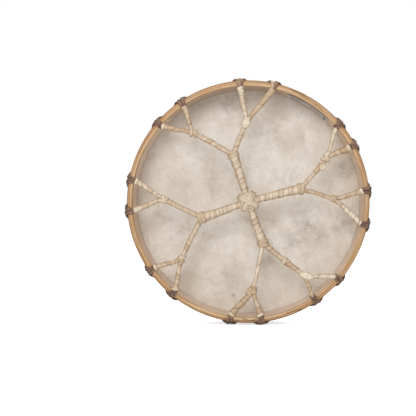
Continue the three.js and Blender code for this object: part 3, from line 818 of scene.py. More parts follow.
SKIN_COLUMNS = 560
SKIN_GAP = 0.3
SKIN_THICK = 1.0
FLAP_HALF = 9.2
FLAP_FLARE = 9.5
# The smear over the playing face: a chain of points, then each link's width and strength.
SMEAR = np.array([
    [-56, 94], [-74, 66], [-74, 50], [-106, 24], [-124, -10], [-139, -38], [-160, -56],
], float)
SMEAR_LINKS = ((11, 0.35), (13, 0.5), (14, 0.55), (16, 0.68), (15, 0.6), (12, 0.4))
# Dark blots inside the head: place, width and strength.
BLOTS = (
    (96, -42, 18, 0.5), (118, -60, 15, 0.4), (72, -62, 14, 0.4), (40, -30, 9, 0.3), (27, -95, 14, 0.35),
    (166, 50, 17, 0.42), (163, -26, 15, 0.45), (146, -46, 12, 0.3), (-28, 156, 13, 0.45),
    (-60, 40, 22, 0.25), (-30, -120, 20, 0.22), (40, 110, 16, 0.25), (-110, -50, 18, 0.25),
)
BLOT_SPREAD = 1.045


def skin_shell(skin, hoop):
    """The head in one piece: flat inside the crest, a quarter ellipse round the bearing edge, then a
    skirt down the hoop to a hem that sweeps up into a flap at each tie; then the same again inside
    by its thickness.

    Each point is a share of the way along that profile at an angle round the drum. Pleats fan out
    from the ties as a sine of the angle that fades away from each tie and towards the head."""
    angle = np.linspace(0, 360, SKIN_COLUMNS, endpoint=False)[:, None]

    def slow(seed, cycles):
        return wander(angle / 360, seed, cycles)

    crest = wall_radius(hoop) + CREST_IN
    arc = np.radians(np.stack([apart(angle, t) for t in TIE_ANGLES])) * SKIN_OUT
    near = np.abs(arc).min(axis=0)
    rise = 1 - np.sqrt(held((near - FLAP_HALF) / FLAP_FLARE))
    torn = 0.7 * slow(71, (17, 29, 41, 67))
    hem = BACK - skin.hem_short + (skin.hem_short - skin.flap_short) * rise + torn
    flat = (np.linspace(0, 1, 52) ** 0.85)[None, :] * crest + 0 * angle
    turned = (np.linspace(0, 1, 12)[None, 1:]) * np.pi / 2
    skirt = np.linspace(0, 1, 18)[None, 1:]

    def face(grow):
        """Radius and height of the skin's face that lies grow outside the wood."""
        z_flat = FRONT - grow + 0 * flat
        r_turn = crest + (WOOD_OUT - crest + grow) * np.sin(turned) + 0 * angle
        z_turn = FRONT + SHOULDER - (SHOULDER + grow) * np.cos(turned) + 0 * angle
        z_skirt = mix(FRONT + SHOULDER, hem, skirt)
        r_skirt = WOOD_OUT + grow
        gather = hump(near, 26) * ease((z_skirt - FRONT) / (BACK - FRONT))
        folds = np.abs(np.sin(np.radians(angle) * 46 + 0.8 * np.sin(np.radians(angle) * 7)))
        r_skirt = r_skirt + 0.9 * folds * gather + 0.25 * (1 + slow(73, (9, 15, 26))) * skirt
        r_skirt = r_skirt + 1.9 * hump(near - 8, 8) * ease((z_skirt - (BACK - skin.hem_short)) / 12)
        return np.hstack([flat, r_turn, r_skirt]), np.hstack([z_flat, z_turn, z_skirt])

    r_out, z_out = face(SKIN_GAP + SKIN_THICK)
    r_in, z_in = face(SKIN_GAP)
    slack = 0.25 * slow(75, (3, 5, 8)) * (flat / crest) ** 2
    slack = slack + 0.16 * np.sin(np.radians(angle) * 16) * ease((flat / crest - 0.72) / 0.25)
    slack = slack - 0.3 * hump(flat - crest - 0.5, 1.2)
    slack = slack * ease((crest + 2 - flat) / 3)
    z_out[:, : flat.shape[1]] -= slack
    z_in[:, : flat.shape[1]] -= np.where(flat > crest - 3, 0, slack)
    hem_r, hem_z = (r_out[:, -1:] + r_in[:, -1:]) / 2, (z_out[:, -1:] + z_in[:, -1:]) / 2 + 0.35
    radius = np.hstack([r_out, hem_r, r_in[:, ::-1]])
    height = np.hstack([z_out, hem_z, z_in[:, ::-1]])
    radius[:, [0, -1]] = 0.4
    points = round_hoop(radius, angle, height)
    faces_out = np.concatenate([np.ones(r_out.shape[1] + 1), np.zeros(r_in.shape[1])])[None, :] + 0 * radius
    marks = skin_marks(skin, points, angle + 0 * radius, radius, height, faces_out, near + 0 * radius)
    gaps = np.hypot(np.diff(radius.mean(axis=0)), np.diff(height.mean(axis=0)))
    lengths = np.concatenate([[0], np.cumsum(gaps)])
    uv = length_grid(lengths, np.linspace(0, 2 * np.pi * SKIN_OUT, SKIN_COLUMNS + 1))
    return shell(points.transpose(1, 0, 2), uv, **{k: v.T for k, v in marks.items()})


def skin_marks(skin, points, angle, radius, height, faces_out, near):
    """Where the hide is smudged, rusty, brown or dark, on its face, its inside and its skirt, and where shade
    is painted: inside at the top, towards the bottom of the face, on the shoulder round the bearing edge and in
    the slots.
    """

    def slow(seed, cycles):
        return wander(angle / 360, seed, cycles)

    x, y = points[..., 0], points[..., 1]
    cloud = wander(x / 60 + y / 95, 81, (1, 1.7, 2.9)) + wander(y / 50 - x / 120, 82, (1, 1.9, 3.1))
    onface = faces_out * ease((WOOD_OUT - 1 - radius) / 3)
    inside = (1 - faces_out) * ease((WOOD_OUT - 9 - radius) / 3)
    smear = np.zeros_like(x)
    for (x0, y0), (x1, y1), (wide, weight) in zip(SMEAR[:-1], SMEAR[1:], SMEAR_LINKS):
        t = held(((x - x0) * (x1 - x0) + (y - y0) * (y1 - y0)) / ((x1 - x0) ** 2 + (y1 - y0) ** 2))
        away = np.hypot(x - mix(x0, x1, t), y - mix(y0, y1, t)) * (1 + 0.25 * cloud)
        smear = np.maximum(smear, 0.8 * weight * hump(away, wide) + 0.35 * weight * hump(away, 2.6 * wide))
    smear = np.maximum(smear, 0.35 * hump(np.hypot(x + 11, (y - 140) * 1.4), 16))
    rust = 0.22 * onface * hump(np.hypot(x + 124, y + 8), 12)
    ring = hump(radius - (WOOD_OUT - 7.2 + 0.8 * slow(83, (4, 9, 17))), 0.9)
    broken = held(0.7 + 0.6 * slow(84, (7, 13, 23, 37, 61)))
    rust = rust + 0.85 * faces_out * ring * broken
    blots = np.zeros_like(x)
    for bx, by, wide, weight in BLOTS:
        away = np.hypot(x - BLOT_SPREAD * bx, y - BLOT_SPREAD * by) * (1 + 0.3 * cloud)
        blots = np.maximum(blots, weight * hump(away, wide))
    spot = hump(np.hypot(x + 25, y + 160), 2.4)
    # painted shadow of the hoop's top on the inside of the head
    shade_top = 0.12 * inside * ease((y - 120) / 50)
    # smudges and blots, plus painted shade: the hoop's shadow inside at the top, and darker towards the bottom
    # of the playing face
    smudge = onface * smear + inside * (blots + shade_top) + 0.3 * onface * ease((-y - 20) / 150)
    rust = rust + 1.2 * inside * spot
    turned = faces_out * ease((radius - (WOOD_OUT - 4)) / 4)
    drop = (height - FRONT) / (BACK - FRONT)
    skirt = turned * held(0.7 + 0.3 * drop + 0.15 * slow(85, (11, 19, 31)))
    # painted shade on the shoulder round the bearing edge, in the skirt's colour
    skirt = np.maximum(skirt, 0.62 * faces_out * ease((radius - (WOOD_OUT - 7)) / 3))
    past_hem = height - (BACK - skin.hem_short)
    flap = turned * ease((past_hem - 1) / 7) * (0.85 + 0.15 * slow(86, (21, 43)))
    flap = np.maximum(flap, turned * ease((past_hem + 3) / 3) * 0.5)
    # painted shade: a dark spot where each tie passes through its slot in the hide
    slot = turned * hump(near, 8.5) * hump(height - (BACK - skin.flap_short - SLOT_BELOW), 2.6)
    marks = {"face": onface, "smudge": smudge, "rust": rust, "skirt": skirt, "flap": np.maximum(flap, slot)}
    return {name: held(mark) for name, mark in marks.items()}


# ---- Lacing --------------------------------------------------------------------------------


def tie_shells(lace, skin, hoop, number, degrees):
    """One tie as its strands, side by side, each a flattened bar carried over the hoop's edge.

    The path is in the plane of the radius: out of the slot, up the outside, round half an ellipse
    over the edge, then down into the cuff. Each strand keeps its own distance along the rim,
    which is wider outside the hoop than inside."""
    half = hoop.ply_thickness + 0.15
    middle = WOOD_OUT - half
    clear = lace.tie_thickness / 2 + 0.35
    slot_level = BACK - skin.flap_short - SLOT_BELOW
    over = np.radians(np.array([14, 30, 46, 62, 78, 95, 112, 130, 150]))
    loop_height = BACK - hoop.edge_round + (hoop.edge_round + clear) * np.sin(over)
    rising = np.array([[-0.8, -1.0], [1.0, 0.6], [1.9, 3.5], [1.75, 8.5]]) + [SKIN_OUT, slot_level]
    bends = np.vstack([
        rising, np.stack([middle + (half + clear) * np.cos(over), loop_height], axis=-1),
        [[middle - half - 1.6, WEB + 0.6], [middle - half - 4.5, WEB - 0.3]],
    ])
    given = run_length(bends)
    t = np.linspace(0, given[-1], 96)
    path = np.stack([np.interp(t, given, bends[:, k]) for k in (0, 1)], axis=-1)
    soft = np.array([1, 4, 6, 4, 1]) / 16
    for _ in range(3):
        path[2:-2] = np.stack([np.convolve(path[:, k], soft, "valid") for k in (0, 1)], axis=-1)
    run = np.gradient(path, axis=0)
    run /= np.linalg.norm(run, axis=1)[:, None]
    normal = np.stack([run[:, 1], -run[:, 0]], axis=-1)
    strands = TIE_STRANDS[number]
    wide = lace.tie_width / strands
    share = ease((path[:, 0] - (middle - half)) / (2 * half))
    spread = mix(0.72, 0.97, share)
    a = once_round(22)
    shells = []
    for k in range(strands):
        seed = 300 + 10 * number + k
        offset = (k - (strands - 1) / 2) * wide * spread + 0.5 * wander(t / 40, seed, (1, 2, 3.3))
        half_wide = wide * 0.53 * spread * (1 + 0.1 * wander(t / 25, seed + 3, (1, 2.2)))
        twist = 0.25 * wander(t / 30, seed + 5, (0.8, 1.9))
        proud = 0.6 * ((k + number) % 2) + 0.2 * wander(t / 20, seed + 6, (1, 2))
        thick = lace.tie_thickness / 2 * 1.3 * (1 + 0.12 * wander(t / 12, seed + 4, (1, 2.7)))
        flatten = 1 - 0.12 * np.cos(a) ** 2
        close = np.sqrt(np.clip(1 - (1 - held(np.minimum(t, t[-1] - t) / 1.0)) ** 2, 0.01, 1))
        across = half_wide[:, None] * np.cos(a)[None, :] * close[:, None]
        rise = thick[:, None] * np.sin(a)[None, :] * flatten[None, :] * close[:, None]
        cos, sin = np.cos(twist)[:, None], np.sin(twist)[:, None]
        across, rise = across * cos - rise * sin, across * sin + rise * cos
        wrinkle = 0.14 * np.sin(t / 1.7 + 2 * np.sin(t / 5) + seed)[:, None] * (np.sin(a) > 0)[None, :]
        rise = rise + wrinkle + proud[:, None]
        radial = path[:, :1] + normal[:, :1] * rise
        height = path[:, 1:] + normal[:, 1:] * rise
        points = turned_by(math.radians(degrees), radial, offset[:, None] + across, height)
        # painted highlight, partly worn: paler on each strand's top where it crosses the edge
        rubbed_and_highlight = held(np.sin(a))[None, :] ** 2 * ease((height - (BACK - 4)) / 5)
        grey = LEG_LOOKS[number][4]
        slow = wander(t / 18, seed + 8, (1, 2.4))[:, None]
        tint = held(rubbed_and_highlight * (0.35 + 0.6 * grey) + 0.6 * grey**2 + 0.1 + 0.15 * slow)
        # painted shade: near black on each strand's sides, between the strands, and on its run down the outside
        # of the hoop
        groove = held(np.abs(np.cos(a)) ** 8)[None, :] * 0.9 + 0.35 * (share[:, None] > 0.98)
        uv = length_grid(t, np.linspace(0, 2 * (wide + lace.tie_thickness), 23))
        bare = 2.3 * max(grey - 0.6, 0) * (k > 0)
        shells.append(shell(points, uv, tint=tint, pale=bare, groove=held(groove * (1 - 0.6 * grey))))
    return shells


# Each leg: half its width at the hoop, half way and at the crotch, how brown it and its tie are,
# the pitch and height of its turns, and how many cuff bands it has.
LEG_LOOKS = [
    (5.2, 4.0, 3.5, 0.3, 0.75, 13.0, 0.45, 2),
    (5.9, 4.2, 3.6, 0.7, 0.95, 21.0, 0.3, 0),
    (3.9, 2.9, 2.5, 0.12, 0.3, 13.0, 0.3, 0),
    (5.6, 4.8, 4.4, 0.75, 0.3, 9.5, 0.8, 1),
    (5.1, 3.7, 3.2, 0.6, 0.35, 9.5, 0.5, 1),
    (4.8, 4.4, 3.1, 0.05, 0.3, 8.0, 0.85, 0),
    (4.3, 3.9, 2.2, 0.12, 0.25, 12.0, 0.4, 0),
    (3.6, 3.0, 2.6, 0.6, 0.3, 6.5, 0.5, 0),
    (6.2, 3.9, 3.0, 0.55, 0.5, 12.0, 0.5, 1),
    (5.3, 4.8, 4.3, 0.7, 0.35, 10.5, 0.6, 1),
    (5.4, 3.7, 3.1, 0.5, 0.3, 9.0, 0.5, 1),
    (5.0, 3.5, 3.0, 0.6, 0.25, 8.0, 0.6, 1),
    (5.4, 3.8, 3.2, 0.4, 0.3, 11.0, 0.5, 0),
    (5.2, 3.6, 3.1, 0.35, 0.35, 9.0, 0.55, 1),
    (5.0, 3.7, 3.2, 0.65, 0.3, 10.0, 0.6, 1),
    (5.3, 3.5, 3.0, 0.5, 0.3, 8.5, 0.5, 0),
]


def crotch_of(k):
    """Where a pair's legs meet."""
    return polar(SKIN_OUT * PAIRS[k][2], PAIRS[k][1])


def fork_of(k):
    """Where a pair's stem meets its trunk."""
    angle, out, _ = next(trunk for trunk in TRUNKS if k in trunk[2])
    return polar(SKIN_OUT * out, angle)


def leg_shells(hoop, number, degrees):
    """A leg from the hoop to its crotch: a wound strand, widest where it takes its tie's end. Its
    half-width goes straight from each of its three widths to the next, with the corners eased."""
    rim, middle, low, tint, _, pitch, ridge, cuffs = LEG_LOOKS[number]
    crotch = crotch_of(number // 2)
    inside = wall_radius(hoop)
    start = polar(inside - 0.6, degrees)
    end = step_from(crotch, polar(inside + 3, degrees), LEG_STUB - 0.5)
    path = bow(start, end, 0.7 * (-1) ** number, 500 + number)
    full = float(np.linalg.norm(end - start))

    def radius_at(s):
        width = np.interp(s / full, [0, 0.2, 0.4, 0.6, 0.85, 1], [
            rim, mix(rim, middle, 0.55), mix(rim, middle, 0.95), middle, mix(middle, low, 0.7), low,
        ])
        return width + 0.2 * wander(s / 20, 520 + number, (0.7, 1.3))

    strand = wound(path, radius_at, 540 + number, pitch=pitch, ridge=ridge, hand=1 if number % 2 else -1,
                   tint=tint, dome=(1.2, 2.5), flat=0.72, line=0.45 + 0.5 * ridge)
    run, shells = (end - start) / full, [strand]
    for k in range(cuffs):
        at = 2.6 + 4.6 * k
        wide = radius_at(np.array([at]))[0]
        shells.append(band(
            start + run * at, run, wide + 0.5, wide * 0.72 + 0.5, 4.6, 1.1, 560 + 7 * number + k,
            lean=(0.1, -0.16)[k % 2], tint=0.05 + 0.2 * tint, line=0.4,
        ))
    return shells


# Each crotch: how brown its bands are, and half their width.
CROTCH_LOOKS = [
    (0.3, 5.2), (0.5, 6.6), (0.7, 4.9), (0.15, 5.6), (0.8, 5.2), (0.5, 5.6), (0.4, 5.4), (0.6, 5.6),
]


def crotch_shells(hoop, k):
    """Where two legs become one stem: a strand curving in from each leg, side by side into the stem,
    and bands bound round them, with a patch of hide or a knot on some. Each curve is a quadratic
    one whose handle is near the crotch's middle."""
    ties = PAIRS[k][0]
    centre, fork = crotch_of(k), fork_of(k)
    inside = wall_radius(hoop)
    run, side = between(centre, fork)
    t = np.linspace(0, 1, 40)[:, None]
    shells = []
    for j, degrees in enumerate(ties):
        look = LEG_LOOKS[2 * k + j]
        leg = step_from(centre, polar(inside + 3, degrees), LEG_STUB + 1.2)
        lean = np.sign(np.dot(leg - centre, side))
        last = centre + run * (STEM_STUB + 1.5) + side * lean * 1.2
        bend = centre + side * lean * 1.4 - run * 0.5
        path = (1 - t) ** 2 * leg + 2 * t * (1 - t) * bend + t**2 * last

        def radius_at(s, wide=look[2]):
            return mix(wide, 3.0, ease(s / 14)) + 0.2 * np.sin(s / 3)

        shells.append(wound(path, radius_at, 600 + 3 * k + j, pitch=7.5, flat=0.9, ridge=0.45, tint=look[3],
                            hand=1 if lean > 0 else -1, dome=(2, 2)))
    tan, bulk = CROTCH_LOOKS[k]
    if k not in (0, 3):
        for j, (d, more) in enumerate(((2.2, 0.8), (6.2, 0.0)) if k != 1 else ((3.0, 0.8), (7.4, 0.0))):
            shells.append(band(
                centre + run * d, run, bulk + more, 4.3 + 0.2 * more, 4.4, 1.2, 640 + 5 * k + j,
                lean=(0.3, -0.22)[(j + k) % 2], tint=tan + 0.1 * ((j + k) % 3 - 1), line=0.45,
            ))
    if k in (4, 7):
        shells.append(band(centre - run * 1.6, run, bulk + 1.6, 4.7, 4.6, 1.3, 660 + k, lean=0.4,
                           tint=tan - 0.15, line=0.45))
    if k == 0:
        over = centre + run * 3.5 - side * 0.3 + [0, 0, 1.2]
        shells.append(patch(over, run, (10.5, 6.4, 4.4), 5, tint=0.12))
    if k == 3:
        over = step_from(centre, polar(inside, ties[0]), 3.5) + run * 1.5 + [0, 0, 1.2]
        shells.append(patch(over, polar(1, -14), (12.5, 6.2, 4.2), 8, tint=0.0))
    if k == 4:
        shells.append(knot([-7.0, -1.5, 0.6] + centre, 4.9, 3, stretch=(1.05, 1.3, 0.85), tint=0.6))
        shells.append(knot([-4.2, 3.6, 0.8] + centre, 3.6, 5, stretch=(1.0, 1.1, 0.85), tint=0.45))
    return shells


# Each stem: half its width, how brown it is, the pitch and height of its turns, and how far it bows.
STEM_LOOKS = [
    (3.7, 0.4, 10.0, 0.5, 0.8), (3.4, 0.5, 10.5, 0.5, -0.7), (3.1, 0.65, 15.0, 0.4, 0.6),
    (3.9, 0.6, 9.0, 0.65, -0.6), (3.0, 0.1, 21.0, 0.25, 0.5), (3.7, 0.45, 9.5, 0.5, -0.8),
    (3.7, 0.55, 11.0, 0.5, 0.7), (3.7, 0.45, 9.0, 0.5, -0.6),
]
LUMP_STEM, LUMP_AT = 3, 0.42
BALL_STEM = 1


def stem_shells(k):
    """A stem from its crotch to the fork, wound, with a lump or a ball knot on two of them."""
    wide, tint, pitch, ridge, bend = STEM_LOOKS[k]
    centre, fork = crotch_of(k), fork_of(k)
    start, end = step_from(centre, fork, STEM_STUB - 0.6), step_from(fork, centre, 1.0)
    length = float(np.linalg.norm(end - start))

    def radius_at(s):
        swell = 1.5 * hump(s - LUMP_AT * length, 6.5) if k == LUMP_STEM else 0
        return wide + 0.35 * s / length + 0.25 * wander(s / 30, 700 + k, (0.8, 1.7)) + swell

    path = bow(start, end, bend, 720 + k)
    shells = [wound(path, radius_at, 740 + k, pitch=pitch, hand=(-1) ** k, tint=tint, ridge=ridge,
                    dome=(2.0, 2.0), line=0.4 + 0.55 * ridge)]
    run, side = between(centre, fork)
    if k == LUMP_STEM:
        middle = start + (end - start) * LUMP_AT
        over = middle + run * 1.5 - side * 0.8 + [0, 0, 1.6]
        shells.append(patch(over, side + 0.5 * run, (6.2, 3.6, 3.4), 760, tint=0.05))
        shells.append(band(middle - run * 2.5, run, 5.4, 4.2, 3.6, 0.9, 761, lean=-0.35, tint=0.4))
    if k == BALL_STEM:
        place = step_from(centre, fork, 18.6) - side * 3.6 + [0.8, -1.6, 0.8]
        shells.append(patch(place, run, (5.9, 5.7, 5.2), 2, tint=0.12, loose=0.02))
        shells.append(band(step_from(centre, fork, 14.0), run, 5.2, 4.4, 3.6, 1.0, 765, lean=0.3, tint=0.5))
    return shells


def trunk_shells(lace, j):
    """A trunk from the hub to its fork: a thick wound strand that widens outwards with the 1.4 power
    of its distance, and saddle bands where it takes its two stems."""
    angle, out, _ = TRUNKS[j]
    start, fork = polar(HUB_RADIUS * 0.6, angle), polar(SKIN_OUT * out, angle)
    run, _ = between(start, fork)
    end = fork + run * 7.2
    length = float(np.linalg.norm(end - start))

    def radius_at(s):
        return mix(5.1, 8.0, held(s / (length - 7)) ** 1.4) + 0.2 * wander(s / 25, 800 + j, (0.7, 1.6))

    path = bow(start, end, (0.6, -0.5, 0.5, -0.6)[j], 810 + j)
    shells = [wound(path, radius_at, 820 + j, pitch=lace.turn_pitch * 1.12, hand=(-1) ** j, tint=0.32,
                    ridge=0.8, dome=(1.5, 7.0), flat=0.8, around=44, line=0.7)]
    saddles = ((-1.0, 9.3, 5.2, 0.08, 0.6), (3.4, 8.6, 4.2, -0.1, 0.5))
    for n, (d, wide, width, lean, tint) in enumerate(saddles):
        shells.append(band(
            fork + run * d, run, wide, wide * 0.79, width, 1.2, 840 + 4 * j + n, lean=lean, tint=tint,
        ))
    return shells


def hub_core_shell():
    """The hub's core: a flattened ball of lace. The ridges are the winding's step, whose turns lean
    from one pole to the other as the angle grows."""
    lat = np.linspace(0.03, np.pi - 0.03, 90)[:, None]
    phi = once_round(120)[None, :]
    q = 9 * (lat / np.pi) + phi / (2 * np.pi) + 0.12 * np.sin(2 * phi)
    f = q - np.floor(q)
    wrap = np.floor(q) - phi / (2 * np.pi)
    step = (1 - np.exp(-f / 0.08)) * (1 - 0.7 * f)
    own = wander(wrap, 901, (0.23, 0.41))
    grow = 0.2 + 0.75 * step + 0.2 * own - 0.5
    points = np.stack([
        (HUB_RADIUS + grow) * np.sin(lat) * np.cos(phi),
        (HUB_RADIUS + grow) * np.sin(lat) * np.sin(phi),
        WEB + (HUB_HALF + grow) * np.cos(lat) + 0 * phi,
    ], axis=-1)
    uv = length_grid(np.linspace(0, 26, 90), np.linspace(0, 90, 121))
    # painted shade: darker in the grooves between the hub's turns
    groove = held(hump(f, 0.07) + hump(1 - f, 0.12))
    return shell(points, uv, groove=groove, tint=held(0.35 + 0.3 * own))


def hub_binding_shells():
    """Two sets of bands bound crosswise round the hub between its trunks, each of four turns side by
    side that cross over its middle."""
    shells = []
    for angle, up, seed in ((61.0, 0.0, 930), (152.0, 0.85, 950)):
        run = np.array([-math.sin(math.radians(angle)), math.cos(math.radians(angle)), 0.0])
        for n in range(4):
            d = (n - 1.5) * 1.95
            shells.append(band(
                [0, 0, WEB] + run * d, run, HUB_RADIUS + 1.2 + 0.2 * (n % 2) + up * 0.5,
                HUB_HALF + 1.25 + up + 0.15 * (n % 2), 2.3, 1.3, seed + n, lean=0.03 * (n - 1.5),
                tint=(0.2, 0.4, 0.15, 0.35)[n], steps=96,
            ))
    return shells


# ---- Settings ------------------------------------------------------------------------------


def colour(name, tells, value):
    """A colour property whose default is given as display values from 0 to 255."""
    linear = [((v / 255 + 0.055) / 1.055) ** 2.4 if v > 10 else v / 255 / 12.92 for v in value]
    return bpy.props.FloatVectorProperty(
        name=name, description=tells, subtype="COLOR", size=3, min=0, max=1, default=linear
    )


def number(name, tells, value, low=0.1, high=500.0):
    """A number property: a length in millimetres, unless its description says otherwise."""
    return bpy.props.FloatProperty(name=name, description=tells, default=value, min=low, max=high)


class FrameDrumHoop(bpy.types.PropertyGroup):
    ply_thickness: number("Ply thickness", "Thickness of each of the two bent plies, in mm", 4.5)
    edge_round: number("Edge rounding", "Height of the rounding on the laced edge, in mm", 3.0)
    strip_from: number("Strip from", "Where the strip over the joint starts, in degrees", 46.0, 0, 360)
    strip_to: number("Strip to", "Where the strip over the joint ends, in degrees", 69.3, 0, 360)


class FrameDrumSkin(bpy.types.PropertyGroup):
    hem_short: number("Hem", "From the skirt's hem to the hoop's laced edge between the ties, in mm", 22.0)
    flap_short: number("Flaps", "From the flaps at the ties to the hoop's laced edge, in mm", 7.0)


class FrameDrumLacing(bpy.types.PropertyGroup):
    tie_width: number("Tie width", "Width of a tie's strands side by side, in mm", 13.0)
    tie_thickness: number("Tie thickness", "Thickness of a tie's strands, in mm", 2.4)
    turn_pitch: number("Pitch", "Distance from one turn of wrapping to the next, in mm", 7.0)


class FrameDrumColours(bpy.types.PropertyGroup):
    # also the painted highlight along the inner rim of the laced edge
    wood_pale_and_highlight: colour("Wood", "Worn wood on the laced edge", (206, 160, 110))
    # a painted highlight on the laced edge
    wood_highlight: colour("Polished wood", "Polished middle of the laced edge", (232, 202, 164))
    wood_brown: colour("Brown wood", "Wood beside the worn edge", (176, 132, 92))
    wood_grain: colour("Grain", "Darker grain in the wood", (140, 94, 58))
    wood_wall: colour("Inner wall", "Greyed wood inside the hoop", (244, 225, 206))
    # also painted shade at the top of the inner wall
    wood_band_and_shade: colour("Bands", "Pinkish brown bands on the hoop's inner wall", (140, 112, 92))
    wood_dark: colour("Cracks", "Cracks, pores and glue lines", (62, 42, 30))
    hide_cream: colour("Hide", "Pale rawhide", (240, 234, 225))
    hide_tan: colour("Tanned hide", "Darker clouds in the rawhide", (218, 208, 193))
    hide_cloud: colour("Clouds", "Grey-brown clouds in the rawhide", (204, 189, 168))
    hide_speck: colour("Specks", "Specks in the rawhide", (160, 130, 98))
    hide_face: colour("Playing face", "What the playing face is darkened by", (216, 209, 198))
    # also the painted shade on the head
    hide_smudge_and_shade: colour("Smudges", "Hand-worn smudges on the hide", (130, 115, 95))
    hide_rust: colour("Crease", "Reddish crease round the head", (126, 72, 48))
    # also painted shade on the shoulder round the bearing edge
    hide_skirt_and_shade: colour("Skirt", "Hide on the hoop's side", (146, 120, 96))
    # also the painted shade in the slots
    hide_flap_and_shade: colour("Flaps", "Dark, hard flaps of hide at the ties", (42, 28, 21))
    lace_cream: colour("Lace", "Pale lace", (236, 223, 201))
    lace_tan: colour("Tan lace", "Tan lace", (190, 158, 122))
    # also the painted shade in the grooves between turns of lace
    lace_brown_and_shade: colour("Lace grooves", "Brown between the turns of lace", (128, 90, 58))
    # darker along a strand's sides
    lace_edge: colour("Lace edges", "Tan brown that gathers along a strand's sides", (150, 112, 78))
    tie_brown: colour("Ties", "Brown lace over the hoop's edge", (104, 74, 60))
    tie_bare: colour("Bare tie", "Tie lace that dried as pale as the legs", (208, 184, 154))
    # also a painted highlight on the strands' tops
    tie_rubbed_and_highlight: colour("Rubbed ties", "Rubbed ridges of the ties", (160, 126, 102))
    # also painted shade between the strands and on their run down the outside
    tie_dark_and_shade: colour("Tie grooves", "Near black between the strands of a tie", (44, 29, 22))
    strip_grey: colour("Strip", "Grey metal", (176, 174, 170))
    strip_dull: colour("Dull strip", "Dulled grey metal", (120, 116, 110))
    strip_bright: colour("Bright strip", "Bare metal", (226, 226, 222))
    tack_black: colour("Tack", "Blackened iron", (44, 40, 38))
    tack_rust: colour("Tack rust", "Rusted iron", (92, 62, 46))


class FrameDrumStage(bpy.types.PropertyGroup):
    floor: colour("Floor", "Plain pale floor", (232, 232, 232))
    distance: number("Camera distance", "From the laced edge to the camera, in metres", 1.33, 0.5, 10)
    lens: number("Lens", "Focal length in mm", 70.4, 10, 300)
    glow: number("Floor glow", "Light the floor itself shows to the camera", 0.68, 0, 10)
    sky: number("Sky", "Strength of the light from all round", 0.42, 0, 10)
    key: number("Key light", "Power of the soft light above each side, in watts", 21.0, 0)


# ---- Operators -----------------------------------------------------------------------------

DONE = {"FINISHED"}


class MakeHoop(bpy.types.Operator):
    """Builds the hoop's two bent plies."""

    bl_idname = "frame_drum.make_hoop"
    bl_label = "Hoop"

    def execute(self, context):
        hoop = context.scene.drum_hoop
        thick = hoop.ply_thickness
        seam = WOOD_OUT - thick
        piece("outer_ply_bent", [ply_shell(hoop, seam, WOOD_OUT, (51, 69))], "hoop_outer_ply", "wood")
        inner = ply_shell(hoop, seam - PLY_GAP - thick, seam - 0.12, (226, 246))
        piece("inner_ply_bent", [inner], "hoop_inner_ply", "wood")
        return DONE


class MakeJointStrip(bpy.types.Operator):
    """Builds the strip over the hoop's joint and the tack that holds it."""

    bl_idname = "frame_drum.make_joint_strip"
    bl_label = "Joint strip"

    def execute(self, context):
        hoop = context.scene.drum_hoop
        piece("joint_strip_bent", [strip_shell(hoop)], "joint_strip", "strip")
        piece("tack_nail", [tack_shell(hoop)], "strip_tack", "tack")
        return DONE


class MakeSkin(bpy.types.Operator):
    """Builds the head, its skirt and its flaps as one stretched hide."""

    bl_idname = "frame_drum.make_skin"
    bl_label = "Head"

    def execute(self, context):
        scene = context.scene
        head = piece("rawhide_head", [skin_shell(scene.drum_skin, scene.drum_hoop)], "drum_head", "hide")
        return DONE


class MakeTies(bpy.types.Operator):
    """Builds the sixteen ties over the hoop's edge."""

    bl_idname = "frame_drum.make_ties"
    bl_label = "Ties"

    def execute(self, context):
        scene = context.scene
        pieces("tie_strands_{:02d}", "rim_tie_{:02d}", "tie_lace", (
            tie_shells(scene.drum_lacing, scene.drum_skin, scene.drum_hoop, i, degrees)
            for i, degrees in enumerate(TIE_ANGLES)
        ))
        return DONE


class MakeLegs(bpy.types.Operator):
    """Builds the sixteen wound legs of the web and their cuffs."""

    bl_idname = "frame_drum.make_legs"
    bl_label = "Legs"

    def execute(self, context):
        hoop = context.scene.drum_hoop
        legs = (leg_shells(hoop, i, degrees) for i, degrees in enumerate(TIE_ANGLES))
        pieces("wound_leg_{:02d}", "web_leg_{:02d}", "web_lace", legs)
        return DONE


class MakeCrotches(bpy.types.Operator):
    """Builds the eight bound crotches where two legs become a stem."""

    bl_idname = "frame_drum.make_crotches"
    bl_label = "Crotches"

    def execute(self, context):
        crotches = (crotch_shells(context.scene.drum_hoop, k) for k in range(len(PAIRS)))
        pieces("bound_crotch_{}", "web_crotch_{}", "web_lace", crotches)
        return DONE


class MakeStems(bpy.types.Operator):
    """Builds the eight wound stems that run in from the crotches."""

    bl_idname = "frame_drum.make_stems"
    bl_label = "Stems"

    def execute(self, context):
        pieces("wound_stem_{}", "web_stem_{}", "web_lace", map(stem_shells, range(len(PAIRS))))
        return DONE


class MakeHub(bpy.types.Operator):
    """Builds the four trunks, the hub's core and its crosswise binding."""

    bl_idname = "frame_drum.make_hub"
    bl_label = "Trunks and hub"

    def execute(self, context):
        trunks = (trunk_shells(context.scene.drum_lacing, j) for j in range(len(TRUNKS)))
        pieces("wound_trunk_{}", "web_trunk_{}", "web_lace", trunks)
        piece("hub_ball", [hub_core_shell()], "hub_core", "web_lace")
        piece("hub_cross_binding", hub_binding_shells(), "hub_binding", "web_lace")
        return DONE


# Each soft light: its name, its place in metres and its share of the key light's power.
LAMPS = (
    ("key_back", (0.35, 1.9, 0.85), 0.92),
    ("key_front", (-0.45, -1.6, 1.15), 0.95),
    ("key_top", (0.25, 0.0, 1.9), 0.8),
)
LAMP_SIZE = 1.1
FLOOR_HALF = 40.0
WHITE = (1.0, 1.0, 1.0)


def put(name, data):
    """A new object in the scene."""
    made = bpy.data.objects.new(name, data)
    bpy.context.scene.collection.objects.link(made)
    return made


